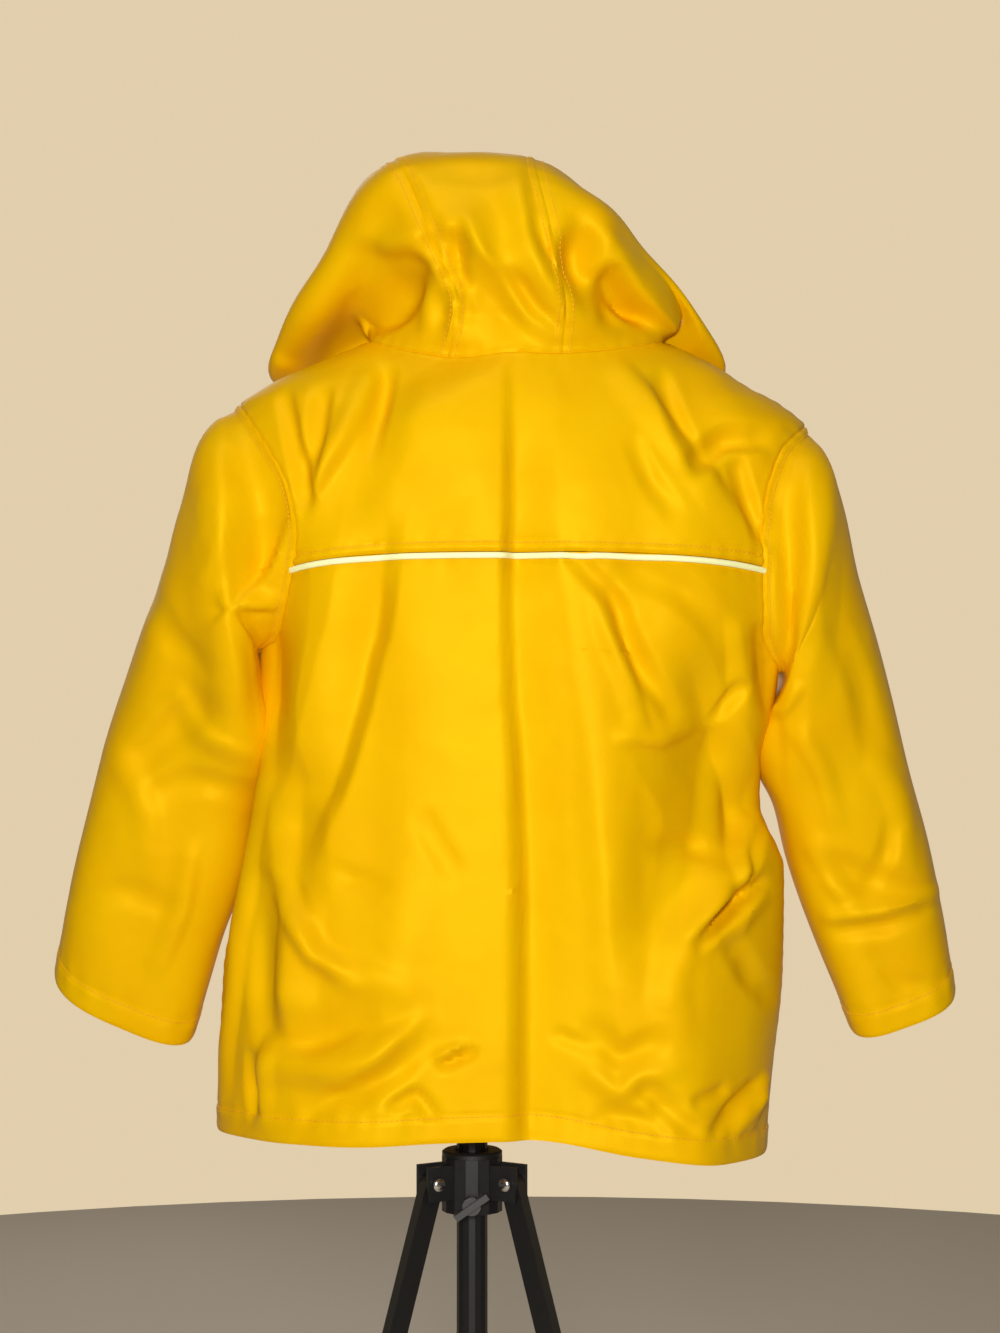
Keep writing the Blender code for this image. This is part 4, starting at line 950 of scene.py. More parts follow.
# ---- the coat's body
@dataclass
class BodySurface:
    """The coat's body as one surface of turn and height, with its seams on it."""

    fine: int = 8  # how many fine cells stand for one coarse one
    strip: int = 4  # coarse cells across the hood's centre strip
    collar: int = 4  # from that strip to the shoulder seam
    shoulder: int = 6  # along one shoulder seam
    front_neck: int = 6  # from the shoulder seam to the centre front
    yoke_rows: int = 8  # up the yoke
    back_rows: int = 4  # of the back panel's armhole
    side_rows: int = 15  # down the side seam
    nape: float = 1.041  # height of the neckline at the back
    neck_side: float = 1.058  # at the shoulder seams
    throat: float = 1.005  # at the centre front
    neck_fall: float = 2.5  # how much of its fall to the throat lies near the shoulders
    yoke_middle: float = 0.9086  # height of the yoke seam at the centre back
    yoke_end: float = 0.8997  # and at the armholes
    yoke_fall: float = 2.5  # how much of its fall lies near them
    strip_half: float = 0.039  # half the hood strip's width at the nape
    lap: float = 0.0020  # how far sleeves and hood reach under the body's edges
    sunk: float = 0.0024  # and how deep they lie there
    folds: tuple[Fold, ...] = BODY_FOLDS + BODY_CREASES + FRONT_CREASES
    waviness: Undulation = Undulation()

    @staticmethod
    def plain(turn: Array, z: Array) -> Array:
        """The smooth body.

        Args:
            turn: angles round it; 0 is the centre back, +90 degrees the left side.
            z: heights.

        Returns:
            Its points.
        """
        left, back = np.sin(turn) >= 0, np.cos(turn) >= 0
        wide = np.where(left, BODY.read("left", z), BODY.read("right", z))
        deep = np.where(back, BODY.read("back", z), BODY.read("front", z))
        x, y = wide * squared(np.sin(turn), SQUARE), deep * squared(np.cos(turn), SQUARE)
        return np.stack([x, y, z + 0 * x], axis=-1)

    def folded(self, turn: Array, z: Array) -> Array:
        """The body with its folds and its waviness.

        Args:
            turn: angles round it.
            z: heights.

        Returns:
            Its points.
        """
        points = self.plain(turn, z)
        normals = self.normal(self.plain, turn, z)
        lift = lift_of(self.folds, points, normals)
        return points + normals * (lift + self.waviness.lift(points))[..., None]

    @staticmethod
    def normal(surface: Callable[[Array, Array], Array], turn: Array, z: Array) -> Array:
        """Outward normals of a surface, from small steps each way.

        Args:
            surface: gives its points at angles and heights.
            turn: angles round it.
            z: heights.

        Returns:
            The normals.
        """
        small_turn, small_z = 0.02, 0.001
        round_it = surface(turn + small_turn, z) - surface(turn - small_turn, z)
        up_it = surface(turn, z + small_z) - surface(turn, z - small_z)
        return unit(np.cross(up_it, round_it))

    @staticmethod
    def turn_at(x: Array, z: Array, face: Face) -> Array:
        """The angle at which a section of the smooth body reaches so far out.

        Args:
            x: how far out.
            z: the section's height.
            face: whether at its back or its front.

        Returns:
            The angle.
        """
        wide = np.where(np.asarray(x) >= 0, BODY.read("left", z), BODY.read("right", z))
        turn = np.arcsin(np.clip(np.abs(x) / wide, 0, 1) ** (SQUARE / 2)) * np.sign(x)
        return turn if face is Face.BACK else math.pi - turn

    def coons(self, face: Face, bottom: Array, top: Array, first: Array, last: Array) -> Array:
        """A grid of (turn, z) pairs between four edges, blended as seen from the front.

        Args:
            face: the side of the coat that the grid lies on.
            bottom: (turn, z) pairs of the first row.
            top: of the last row.
            first: of the first column.
            last: of the last column.

        Returns:
            The grid.
        """
        edges = [self.plain(edge[:, 0], edge[:, 1])[:, [0, 2]] for edge in (bottom, top, first, last)]
        bottom, top, first, last = edges
        up = np.linspace(0, 1, len(first))[:, None, None]
        across = np.linspace(0, 1, len(bottom))[None, :, None]
        mixed = ((1 - up) * bottom[None] + up * top[None]
                 + (1 - across) * first[:, None] + across * last[:, None])
        corners = ((1 - up) * (1 - across) * bottom[0] + (1 - up) * across * bottom[-1]
                   + up * (1 - across) * top[0] + up * across * top[-1])
        x, z = np.moveaxis(mixed - corners, -1, 0)
        return np.stack([self.turn_at(x, z, face), z], axis=-1)

    def armhole(self, side: Side, face: Face, low: float, high: float, cells: int) -> Array:
        """(turn, z) pairs up an armhole, closer together near its foot and its tip.

        Args:
            side: whose armhole.
            face: its back or front edge.
            low: the height it starts at.
            high: the height it ends at.
            cells: coarse cells between them.

        Returns:
            The pairs, rising.
        """
        table = ARMHOLES[side]
        stops = table["z"]
        middle, half = (stops[0] + stops[-1]) / 2, (stops[-1] - stops[0]) / 2
        start, end = np.arccos(np.clip((np.array([low, high]) - middle) / half, -1, 1))
        z = middle + half * np.cos(np.linspace(start, end, cells * self.fine + 1))
        reach = np.minimum(table.read(face.name.lower(), z), BODY.read(side.tag, z))
        return np.stack([self.turn_at(side.value * reach, z, face), z], axis=-1)

    @staticmethod
    def hem_height(turn: Array) -> Array:
        """Height of the hem at an angle round the body."""
        degrees = np.degrees(turn)
        return HEM.read("z", np.where(degrees < -90, degrees + 360, degrees))

    def neckline(self, side: Side) -> Array:
        """The front neckline from a shoulder seam to the middle.

        Args:
            side: whose shoulder.

        Returns:
            (turn, z) pairs.
        """
        reach = BODY[side.tag][-1]
        swing = np.linspace(math.pi / 2, 0, self.front_neck * self.fine + 1)
        z = self.throat + (self.neck_side - self.throat) * np.sin(swing) ** self.neck_fall
        return np.stack([self.turn_at(side.value * reach * np.sin(swing), z, Face.FRONT), z], axis=-1)

    def back_neckline(self) -> Array:
        """The back neckline from the right shoulder seam past the nape to the left one.

        Returns:
            (turn, z) pairs.
        """
        halves = []
        for side in (Side.RIGHT, Side.LEFT):
            reach = BODY[side.tag][-1]
            edge = math.asin(self.strip_half / reach)
            swing = np.concatenate([np.linspace(math.pi / 2, edge, self.collar * self.fine + 1)[:-1],
                                    np.linspace(edge, 0, self.strip // 2 * self.fine + 1)])
            z = self.nape + (self.neck_side - self.nape) * np.sin(swing) ** 2
            turn = self.turn_at(side.value * reach * np.sin(swing), z, Face.BACK)
            halves.append(np.stack([turn, z], axis=-1))
        return np.concatenate([halves[0], halves[1][::-1][1:]])

    def shoulder_seam(self, side: Side) -> Array:
        """(turn, z) pairs from the shoulder tip up to the neck."""
        z = np.linspace(ARMHOLES[side]["z"][-1], self.neck_side, self.shoulder * self.fine + 1)
        return np.stack([np.full(z.shape, side.value * math.pi / 2), z], axis=-1)

    def side_seam(self, side: Side) -> Array:
        """A side seam from the armhole's foot down to the hem.

        Args:
            side: which one.

        Returns:
            (turn, z) pairs.
        """
        turn = side.value * math.pi / 2
        foot, hem = ARMHOLES[side]["z"][0], float(self.hem_height(np.array(turn)))
        z = np.linspace(foot, hem, self.side_rows * self.fine + 1)
        return np.stack([np.full(z.shape, turn), z], axis=-1)

    def yoke_seam(self) -> Array:
        """The yoke seam from the right armhole to the left one.

        Returns:
            (turn, z) pairs.
        """
        cells = (2 * (self.shoulder + self.collar) + self.strip) * self.fine
        ends = {}
        for side in Side:
            reach = ARMHOLES[side].read("back", np.array(self.yoke_end))
            ends[side] = float(self.turn_at(side.value * reach, np.array(self.yoke_end), Face.BACK))
        share = np.linspace(-1, 1, cells + 1)
        turn = np.where(share < 0, -share * ends[Side.RIGHT], share * ends[Side.LEFT])
        z = self.yoke_middle + (self.yoke_end - self.yoke_middle) * np.abs(share) ** self.yoke_fall
        return np.stack([turn, z], axis=-1)

    def yoke(self) -> Array:
        """The yoke.

        Returns:
            A grid of (turn, z) pairs, rows from its seam up to shoulders and neckline.
        """
        sides = [self.armhole(side, Face.BACK, self.yoke_end, ARMHOLES[side]["z"][-1], self.yoke_rows)
                 for side in (Side.RIGHT, Side.LEFT)]
        top = np.concatenate([self.shoulder_seam(Side.RIGHT)[:-1], self.back_neckline(),
                              self.shoulder_seam(Side.LEFT)[::-1][1:]])
        return self.coons(Face.BACK, self.yoke_seam(), top, *sides)

    def back(self) -> Array:
        """The back panel.

        Returns:
            A grid of (turn, z) pairs, rows from the yoke seam down to the hem.
        """
        sides = []
        for side in (Side.RIGHT, Side.LEFT):
            hole = self.armhole(side, Face.BACK, ARMHOLES[side]["z"][0], self.yoke_end, self.back_rows)[::-1]
            sides.append(np.concatenate([hole[:-1], self.side_seam(side)]))
        top = self.yoke_seam()
        turn = np.linspace(-math.pi / 2, math.pi / 2, len(top))
        hem = np.stack([turn, self.hem_height(turn)], axis=-1)
        return self.coons(Face.BACK, top, hem, *sides)

    def front(self, side: Side) -> Array:
        """A front.

        Args:
            side: which one.

        Returns:
            A grid of (turn, z) pairs, rows from the hem up, columns from the middle outwards.
        """
        table = ARMHOLES[side]
        rows_up = self.back_rows + self.yoke_rows
        hole = self.armhole(side, Face.FRONT, table["z"][0], table["z"][-1], rows_up)
        outer = np.concatenate([self.side_seam(side)[::-1][:-1], hole])
        top = np.concatenate([self.neckline(side)[::-1], self.shoulder_seam(side)[::-1][1:]])
        turn = math.pi - side.value * np.linspace(0, math.pi / 2, len(top))
        hem = np.stack([turn, self.hem_height(turn)], axis=-1)
        heights = np.linspace(float(hem[0, 1]), self.throat, len(outer))
        middle = np.stack([np.full(heights.shape, math.pi), heights], axis=-1)
        return self.coons(Face.FRONT, hem, top, middle, outer)

    def laid(self, grid: Array) -> Array:
        """The folded surface's points at a grid of (turn, z) pairs."""
        return self.folded(grid[..., 0], grid[..., 1])

    def tuck(self, edge: Array) -> Array:
        """How far an edge moves when what is sewn to it is laid under the body's wall.

        Args:
            edge: (turn, z) pairs round an opening of the body.

        Returns:
            The move of each point, away from the opening and inwards.
        """
        points = self.laid(edge)
        outwards = self.normal(self.folded, edge[:, 0], edge[:, 1])
        aside = unit(np.cross(outwards, np.gradient(points, axis=0)))
        aside *= np.sign((aside * (points - points.mean(axis=0))).sum(axis=-1, keepdims=True))
        return aside * self.lap - outwards * self.sunk


# ---- finishes
Colour = tuple[float, float, float]
Socket = bpy.types.NodeSocket


class Nodes:
    """A node tree with short ways to add to it."""

    def __init__(self, tree: bpy.types.NodeTree) -> None:
        """Takes the tree."""
        self.tree = tree

    def feed(self, node: bpy.types.Node, inputs: dict[str | int, object]) -> None:
        """Fills inputs of a node.

        Args:
            node: the node.
            inputs: a value, or the output that feeds it, for inputs by name or number.
        """
        for key, value in inputs.items():
            if isinstance(value, Socket):
                self.tree.links.new(value, node.inputs[key])
            else:
                node.inputs[key].default_value = value

    def add(self, kind: str, inputs: dict[str | int, object] | None = None,
            **settings: object) -> bpy.types.Node:
        """Adds a node.

        Args:
            kind: its type.
            inputs: what feeds its inputs, as for `feed`.
            settings: the node's own settings.

        Returns:
            The node.
        """
        node = self.tree.nodes.new(kind)
        for name, value in settings.items():
            setattr(node, name, value)
        self.feed(node, inputs or {})
        return node

    def noise(self, size: float, detail: float) -> Socket:
        """Noise on the object's own coordinates.

        Args:
            size: its size.
            detail: how much finer noise it holds.

        Returns:
            The noise.
        """
        place = self.add("ShaderNodeTexCoord").outputs["Object"]
        inputs = {"Scale": 1 / size, "Detail": detail, "Vector": place}
        return self.add("ShaderNodeTexNoise", inputs).outputs["Fac"]

    def ramp(self, share: Socket, low: Colour, high: Colour,
             stops: Pair = (0.0, 1.0)) -> Socket:
        """Two colours mixed by a share.

        Args:
            share: what mixes them.
            low: the colour up to the first stop.
            high: the colour from the second one.
            stops: the two stops.

        Returns:
            The mixed colour.
        """
        node = self.add("ShaderNodeValToRGB", {"Fac": share})
        for element, color, stop in zip(node.color_ramp.elements, (low, high), stops):
            element.color, element.position = (*color, 1.0), stop
        return node.outputs["Color"]

    def bump(self, height: Socket, depth: float, under: Socket | None = None) -> Socket:
        """A normal tilted by a height, over another one if there is one."""
        inputs = {"Distance": depth, "Height": height} | ({"Normal": under} if under else {})
        return self.add("ShaderNodeBump", inputs).outputs["Normal"]


def new_material(name: str, color: Colour) -> tuple[Material, Nodes, bpy.types.Node]:
    """A material with a plain shader.

    Args:
        name: its name.
        color: its linear colour in a viewport.

    Returns:
        The material, its nodes and its shader.
    """
    made = bpy.data.materials.new(name)
    made.use_nodes = True
    made.diffuse_color = (*color, 1.0)
    return made, Nodes(made.node_tree), made.node_tree.nodes["Principled BSDF"]


@dataclass(frozen=True)
class Finish:
    """A plain painted, moulded or rubbed finish with a fine grain."""

    name: str
    color: Colour
    rough: float  # its roughness
    metal: float = 0.0
    grain: float = 0.06  # how much its colour varies
    grain_size: float = 0.002  # size of the grain
    bump: float = 0.00004  # depth of the grain
    coat: float = 0.0  # strength of a clear skin over it

    def make(self) -> Material:
        """Builds the material.

        Returns:
            The material.
        """
        made, nodes, shader = new_material(self.name, self.color)
        noise = nodes.noise(self.grain_size, 3.0)
        low, high = (tuple(min(channel * share, 1.0) for channel in self.color)
                     for share in (1 - self.grain, 1 + self.grain))
        nodes.feed(shader, {
            "Roughness": self.rough, "Metallic": self.metal, "Coat Weight": self.coat,
            "Base Color": nodes.ramp(noise, low, high), "Normal": nodes.bump(noise, self.bump)})
        return made


@dataclass(frozen=True)
class CoatedCloth:
    """Polyurethane-coated cloth: a smooth skin with a faint grain and a soft sheen."""

    name: str
    color: Colour
    deep: Colour  # the colour of its thicker places
    rough: float = 0.50  # its roughness
    shine: float = 0.75  # strength of its sheen
    tint: Colour = (1.0, 0.58, 0.03)  # colour of its sheen
    patch_size: float = 0.05  # size of its uneven patches
    patch_stops: Pair = (0.35, 0.65)  # the noise at which they start and are full
    wave_size: float = 0.024  # size of the fine unevenness
    wave_depth: float = 0.0009  # depth of it
    grain_size: float = 0.0009  # size of the skin's grain
    grain_depth: float = 0.00002  # depth of the grain

    def make(self) -> Material:
        """Builds the material.

        Returns:
            The material.
        """
        made, nodes, shader = new_material(self.name, self.color)
        patches = nodes.noise(self.patch_size, 2.0)
        waves = nodes.bump(nodes.noise(self.wave_size, 1.0), self.wave_depth)
        nodes.feed(shader, {
            "Roughness": self.rough, "Specular IOR Level": self.shine, "Specular Tint": (*self.tint, 1.0),
            "Base Color": nodes.ramp(patches, self.deep, self.color, self.patch_stops),
            "Normal": nodes.bump(nodes.noise(self.grain_size, 2.0), self.grain_depth, waves)})
        return made


@dataclass(frozen=True)
class KnitCloth:
    """The knitted inner face of the coat, or the jersey of the form, with painted shade in the bottoms of its
    ribs.
    """

    name: str
    color: Colour
    pitch: float = 0.0016  # distance from one rib to the next
    depth: float = 0.00012  # how deep the ribs are
    shade: float = 0.86  # painted shade in the bottoms of the ribs: how light they are, as a share of the colour
    band: float = 0.314  # distance between the bands of a wave texture at scale 1

    def make(self) -> Material:
        """Builds the material.

        Returns:
            The material.
        """
        made, nodes, shader = new_material(self.name, self.color)
        chart = nodes.add("ShaderNodeUVMap", uv_map="cloth")
        waves = nodes.add("ShaderNodeTexWave", {
            "Scale": self.band / self.pitch, "Distortion": 1.5, "Detail": 1.0, "Vector": chart.outputs["UV"]})
        ribs = waves.outputs["Fac"]
        # painted shade: the bottoms of the ribs get a darker copy of the colour
        painted_rib_shade = tuple(channel * self.shade for channel in self.color)
        nodes.feed(shader, {
            "Roughness": 0.9, "Specular IOR Level": 0.2, "Sheen Weight": 0.2,
            "Base Color": nodes.ramp(ribs, painted_rib_shade, self.color), "Normal": nodes.bump(ribs, self.depth)})
        return made


COATED = CoatedCloth("coated cloth, yellow", (0.80, 0.460, 0.0), (0.80, 0.434, 0.0))
KNIT_BACK = KnitCloth("knitted inner face, yellow", (0.86, 0.52, 0.05))
THREAD = Finish("thread, yellow", (0.80, 0.40, 0.0), 0.6, grain=0.12, grain_size=0.0006)
REFLECTIVE = Finish("reflective piping, cream", (0.96, 0.98, 0.52), 0.38, grain=0.02)
SNAP_PLASTIC = Finish("moulded snap, yellow", (0.90, 0.45, 0.0), 0.32, coat=0.3)
JERSEY = KnitCloth("form jersey, off-white", (0.80, 0.77, 0.72), pitch=0.0022)
STAND_PAINT = Finish("satin black coating", (0.004, 0.004, 0.0045), 0.42, grain=0.2)
HUB_PLASTIC = Finish("moulded black plastic", (0.006, 0.006, 0.0065), 0.5, grain=0.2)
RUBBER = Finish("black rubber", (0.005, 0.005, 0.005), 0.85, grain=0.2)
KNOB_PLASTIC = Finish("dark grey plastic", (0.05, 0.05, 0.052), 0.42, grain=0.1)
STEEL = Finish("bright steel", (0.62, 0.62, 0.60), 0.25, metal=1.0, grain=0.05)
FLOOR = Finish("pale floor", (0.62, 0.56, 0.48), 0.75, grain=0.01, grain_size=0.02, bump=0.0001)


@cache
def material(finish: Finish | CoatedCloth | KnitCloth) -> Material:
    """The material of a finish, made once."""
    return finish.make()


# ---- what repeats
@dataclass
class Repeater:
    """A node tree that sets a small shape on every point of a mesh.

    Each point carries a direction to run in and one to stand up in, as the attributes "run"
    and "up"."""

    name: str
    seed: int = 3  # picks the small random turns
    tree: bpy.types.NodeTree = field(init=False)
    keys: dict[str, str] = field(init=False, default_factory=dict)

    def __post_init__(self) -> None:
        """Builds the tree with its named inputs."""
        self.tree = bpy.data.node_groups.new(self.name, "GeometryNodeTree")
        face = self.tree.interface
        for label, kind in (("Geometry", "NodeSocketGeometry"), ("Shape", "NodeSocketObject"),
                            ("Size", "NodeSocketVector"), ("Wander", "NodeSocketFloat"),
                            ("Seed", "NodeSocketInt"), ("Material", "NodeSocketMaterial")):
            self.keys[label] = face.new_socket(name=label, in_out="INPUT", socket_type=kind).identifier
        face.new_socket(name="Geometry", in_out="OUTPUT", socket_type="NodeSocketGeometry")
        nodes = Nodes(self.tree)
        given = nodes.add("NodeGroupInput").outputs
        shape = nodes.add("GeometryNodeObjectInfo", {"Object": given["Shape"]})
        turns = None
        for axis, attribute in (("Z", "up"), ("X", "run")):
            read = nodes.add("GeometryNodeInputNamedAttribute", {"Name": attribute}, data_type="FLOAT_VECTOR")
            align = nodes.add(
                "FunctionNodeAlignRotationToVector", {"Vector": read.outputs["Attribute"]}, axis=axis)
            if turns:
                align.pivot_axis = "Z"
                nodes.feed(align, {"Rotation": turns})
            turns = align.outputs["Rotation"]
        low = nodes.add("ShaderNodeMath", {0: given["Wander"], 1: -1.0}, operation="MULTIPLY")
        chance = nodes.add("FunctionNodeRandomValue", {
            2: low.outputs[0], 3: given["Wander"], "Seed": given["Seed"]}, data_type="FLOAT")
        turn = nodes.add("FunctionNodeAxisAngleToRotation", {
            "Axis": (0.0, 0.0, 1.0), "Angle": chance.outputs[1]})
        both = nodes.add("FunctionNodeRotateRotation", {0: turns, 1: turn.outputs[0]}, rotation_space="LOCAL")
        place = nodes.add("GeometryNodeInstanceOnPoints", {
            "Points": given["Geometry"], "Instance": shape.outputs["Geometry"],
            "Rotation": both.outputs[0], "Scale": given["Size"]})
        real = nodes.add("GeometryNodeRealizeInstances", {"Geometry": place.outputs["Instances"]})
        paint = nodes.add("GeometryNodeSetMaterial", {
            "Geometry": real.outputs["Geometry"], "Material": given["Material"]})
        nodes.add("NodeGroupOutput", {"Geometry": paint.outputs["Geometry"]})

    def fill(self, name: str, points: Array, runs: Array, ups: Array, shape: Object,
             size: tuple[float, float, float], paint: Material,
             wander: float = 0.0) -> Object:
        """Sets the shape on every point and returns the result as one plain mesh.

        Args:
            name: the piece's name.
            points: where the shapes stand, in the coat's own frame.
            runs: the direction of each shape's X.
            ups: the direction of each shape's Z.
            shape: the shape; it is left in place for other rows.
            size: its scale along X, Y and Z.
            paint: the finish.
            wander: the most that a shape turns about its Z, in radians.

        Returns:
            The piece.
        """
        holder = mesh_object(name, points, [])
        for label, values in (("run", runs), ("up", ups)):
            layer = holder.data.attributes.new(label, "FLOAT_VECTOR", "POINT")
            layer.data.foreach_set("vector", np.asarray(values, np.float32).reshape(-1))
        step = holder.modifiers.new(self.name, "NODES")
        step.node_group = self.tree
        for label, value in (("Shape", shape), ("Size", size), ("Wander", wander),
                             ("Seed", self.seed), ("Material", paint)):
            step[self.keys[label]] = value
        bpy.context.view_layer.update()
        graph = bpy.context.evaluated_depsgraph_get()
        mesh = bpy.data.meshes.new_from_object(holder.evaluated_get(graph))
        holder.modifiers.remove(step)
        old = holder.data
        holder.data = mesh
        bpy.data.meshes.remove(old)
        mesh.shade_smooth()
        return holder


STITCH_PROFILE = ((0.30, -0.5), (0.86, -0.3), (1.0, 0.0), (0.86, 0.3), (0.30, 0.5))
SNAP_PROFILE = ((1, 0), (1, 0.45), (0.93, 0.8), (0.80, 1), (0.62, 1), (0.50, 0.78), (0.2, 0.72))
RIVET_PROFILE = ((1, 0), (1, 0.16), (0.86, 0.34), (0.55, 0.46), (0.2, 0.5))


def turned_shape(name: str, profile: Sequence[Pair], sides: int,
                 radius: float = 1.0, height: float = 1.0) -> Object:
    """A small round shape, closed at both ends.

    Args:
        name: its name.
        profile: radius and height of its rings from the bottom up, as shares.
        sides: how many sides it has.
        radius: its radius.
        height: its height.

    Returns:
        The shape, about its own origin, to be removed once it is set out.
    """
    points = [(radius * wide * math.cos(t), radius * wide * math.sin(t), height * up)
              for wide, up in profile for t in circle(sides)]
    faces = [list(range(sides))[::-1]]
    for low in range(0, (len(profile) - 1) * sides, sides):
        for j in range(sides):
            k = (j + 1) % sides
            faces.append([low + j, low + k, low + sides + k, low + sides + j])
    faces.append(range(len(points) - sides, len(points)))
    return mesh_object(name, points, faces, smooth_angle=SHARP, placed=True)


@dataclass
class Stitching:
    """Rows of thread, all on one body."""

    pitch: float = 0.0034  # distance from one stitch to the next
    length: float = 0.0026  # of one stitch
    thick: float = 0.0007  # of the thread
    wander: float = 0.06  # the most that a stitch turns aside, in radians
    proud: float = 0.25  # how far it stands out of the cloth, as a share of that
    look_ahead: float = 0.001  # distance over which the direction of a stitch is taken
    rows: list[StitchRow] = field(default_factory=list)  # the rows to sew

    def add(self, row: StitchRow) -> None:
        """Adds one row."""
        self.rows.append(row)

    def build(self, thread: Material) -> Object:
        """Sews every row.

        Args:
            thread: its finish.

        Returns:
            The piece with every stitch.
        """
        points, runs, ups = [], [], []
        for row in self.rows:
            stops = stops_along(row.points)
            at = np.arange(self.pitch / 2, stops[-1] - self.length / 2, self.pitch)
            here, ahead = (interpolated(stops, row.points, where) for where in (at, at + self.look_ahead))
            up = unit(interpolated(stops, row.normals, at))
            points.append(here + up * self.thick * self.proud)
            runs.append(unit(ahead - here))
            ups.append(up)
        shape = turned_shape("one stitch", STITCH_PROFILE, sides=8)
        shape.data.transform(Matrix.Rotation(math.pi / 2, 4, "Y"))
        made = Repeater("rows of stitches").fill(
            "stitching", np.concatenate(points), np.concatenate(runs), np.concatenate(ups), shape,
            (self.length, self.thick / 2, self.thick / 2), thread, wander=self.wander)
        bpy.data.objects.remove(shape)
        return made


# ---- sub-assemblies of the coat
@dataclass
class CoatBody:
    """The yoke, back and fronts of the coat."""

    surface: BodySurface
    stitching: Stitching
    # Relief of the yoke's edge over the piping.
    lapped: SeamRelief = SeamRelief(dent=0.0009, swell=0.0009, stitch_at=0.0075, stitch_dent=0.0010)
    seam: SeamRelief = SeamRelief(dent=0.0010, stitch_dent=0.0)  # relief of a plain seam
    # Relief of a seam without topstitch.
    quiet: SeamRelief = SeamRelief(dent=0.0004, stitch_dent=0.0, swell=0.0003)
    hem: HemRelief = HemRelief()  # relief of the hem

    def build_panel(self, name: str, grid: Array, reliefs: Sequence[tuple[Edge, Relief]],
                    pulled: Sequence[Edge], stitched: tuple[Edge, float], cut: Cut) -> None:
        """Makes one panel, with its cells crowded along its edges.

        Args:
            name: its name.
            grid: (turn, z) pairs of its points, evenly spread.
            reliefs: what shapes each of its edges.
            pulled: edges that are drawn back a little from their seam.
            stitched: the edge beside which stitches show, and how far off.
            cut: what it stands for and how it is cut.
        """
        grid = regrid(grid, *(uneven(count) for count in grid.shape[:2]))
        cloth = Cloth(name, self.surface.laid(grid), outward=COAT_INSIDE, reliefs=dict(reliefs))
        cloth.build(cut, pulled)
        self.stitching.add(cloth.row(*stitched))

    def build(self) -> None:
        """Builds the yoke, the back panel below the piping, and the two fronts."""
        columns = (Edge.FIRST_COLUMN, Edge.LAST_COLUMN)
        sides = [(edge, self.quiet) for edge in columns]
        self.build_panel("yoke_cloth", self.surface.yoke(),
                         [(Edge.FIRST_ROW, self.lapped), (Edge.LAST_ROW, self.seam), *sides],
                         (Edge.FIRST_ROW, *columns), (Edge.FIRST_ROW, self.lapped.stitch_at),
                         Cut("back_yoke", flat=(0.44, 0.17), area=0.060, rests_on=("dress_form",)))
        self.build_panel("back_cloth", self.surface.back(),
                         [(Edge.FIRST_ROW, self.quiet), (Edge.LAST_ROW, self.hem), *sides],
                         (Edge.FIRST_ROW, *columns), (Edge.LAST_ROW, self.hem.deep),
                         Cut("back_panel", flat=(0.47, 0.44), area=0.186, rests_on=("yoke_cloth",)))
        for side in Side:
            self.build_panel(f"front_cloth_{side.tag}", self.surface.front(side),
                             [(Edge.FIRST_ROW, self.hem), (Edge.LAST_ROW, self.seam), *sides[::-1]],
                             (*columns, Edge.LAST_ROW), (Edge.FIRST_ROW, self.hem.deep),
                             Cut(f"front_{side.tag}", flat=(0.245, 0.58), area=0.118,
                                 rests_on=("dress_form",)))


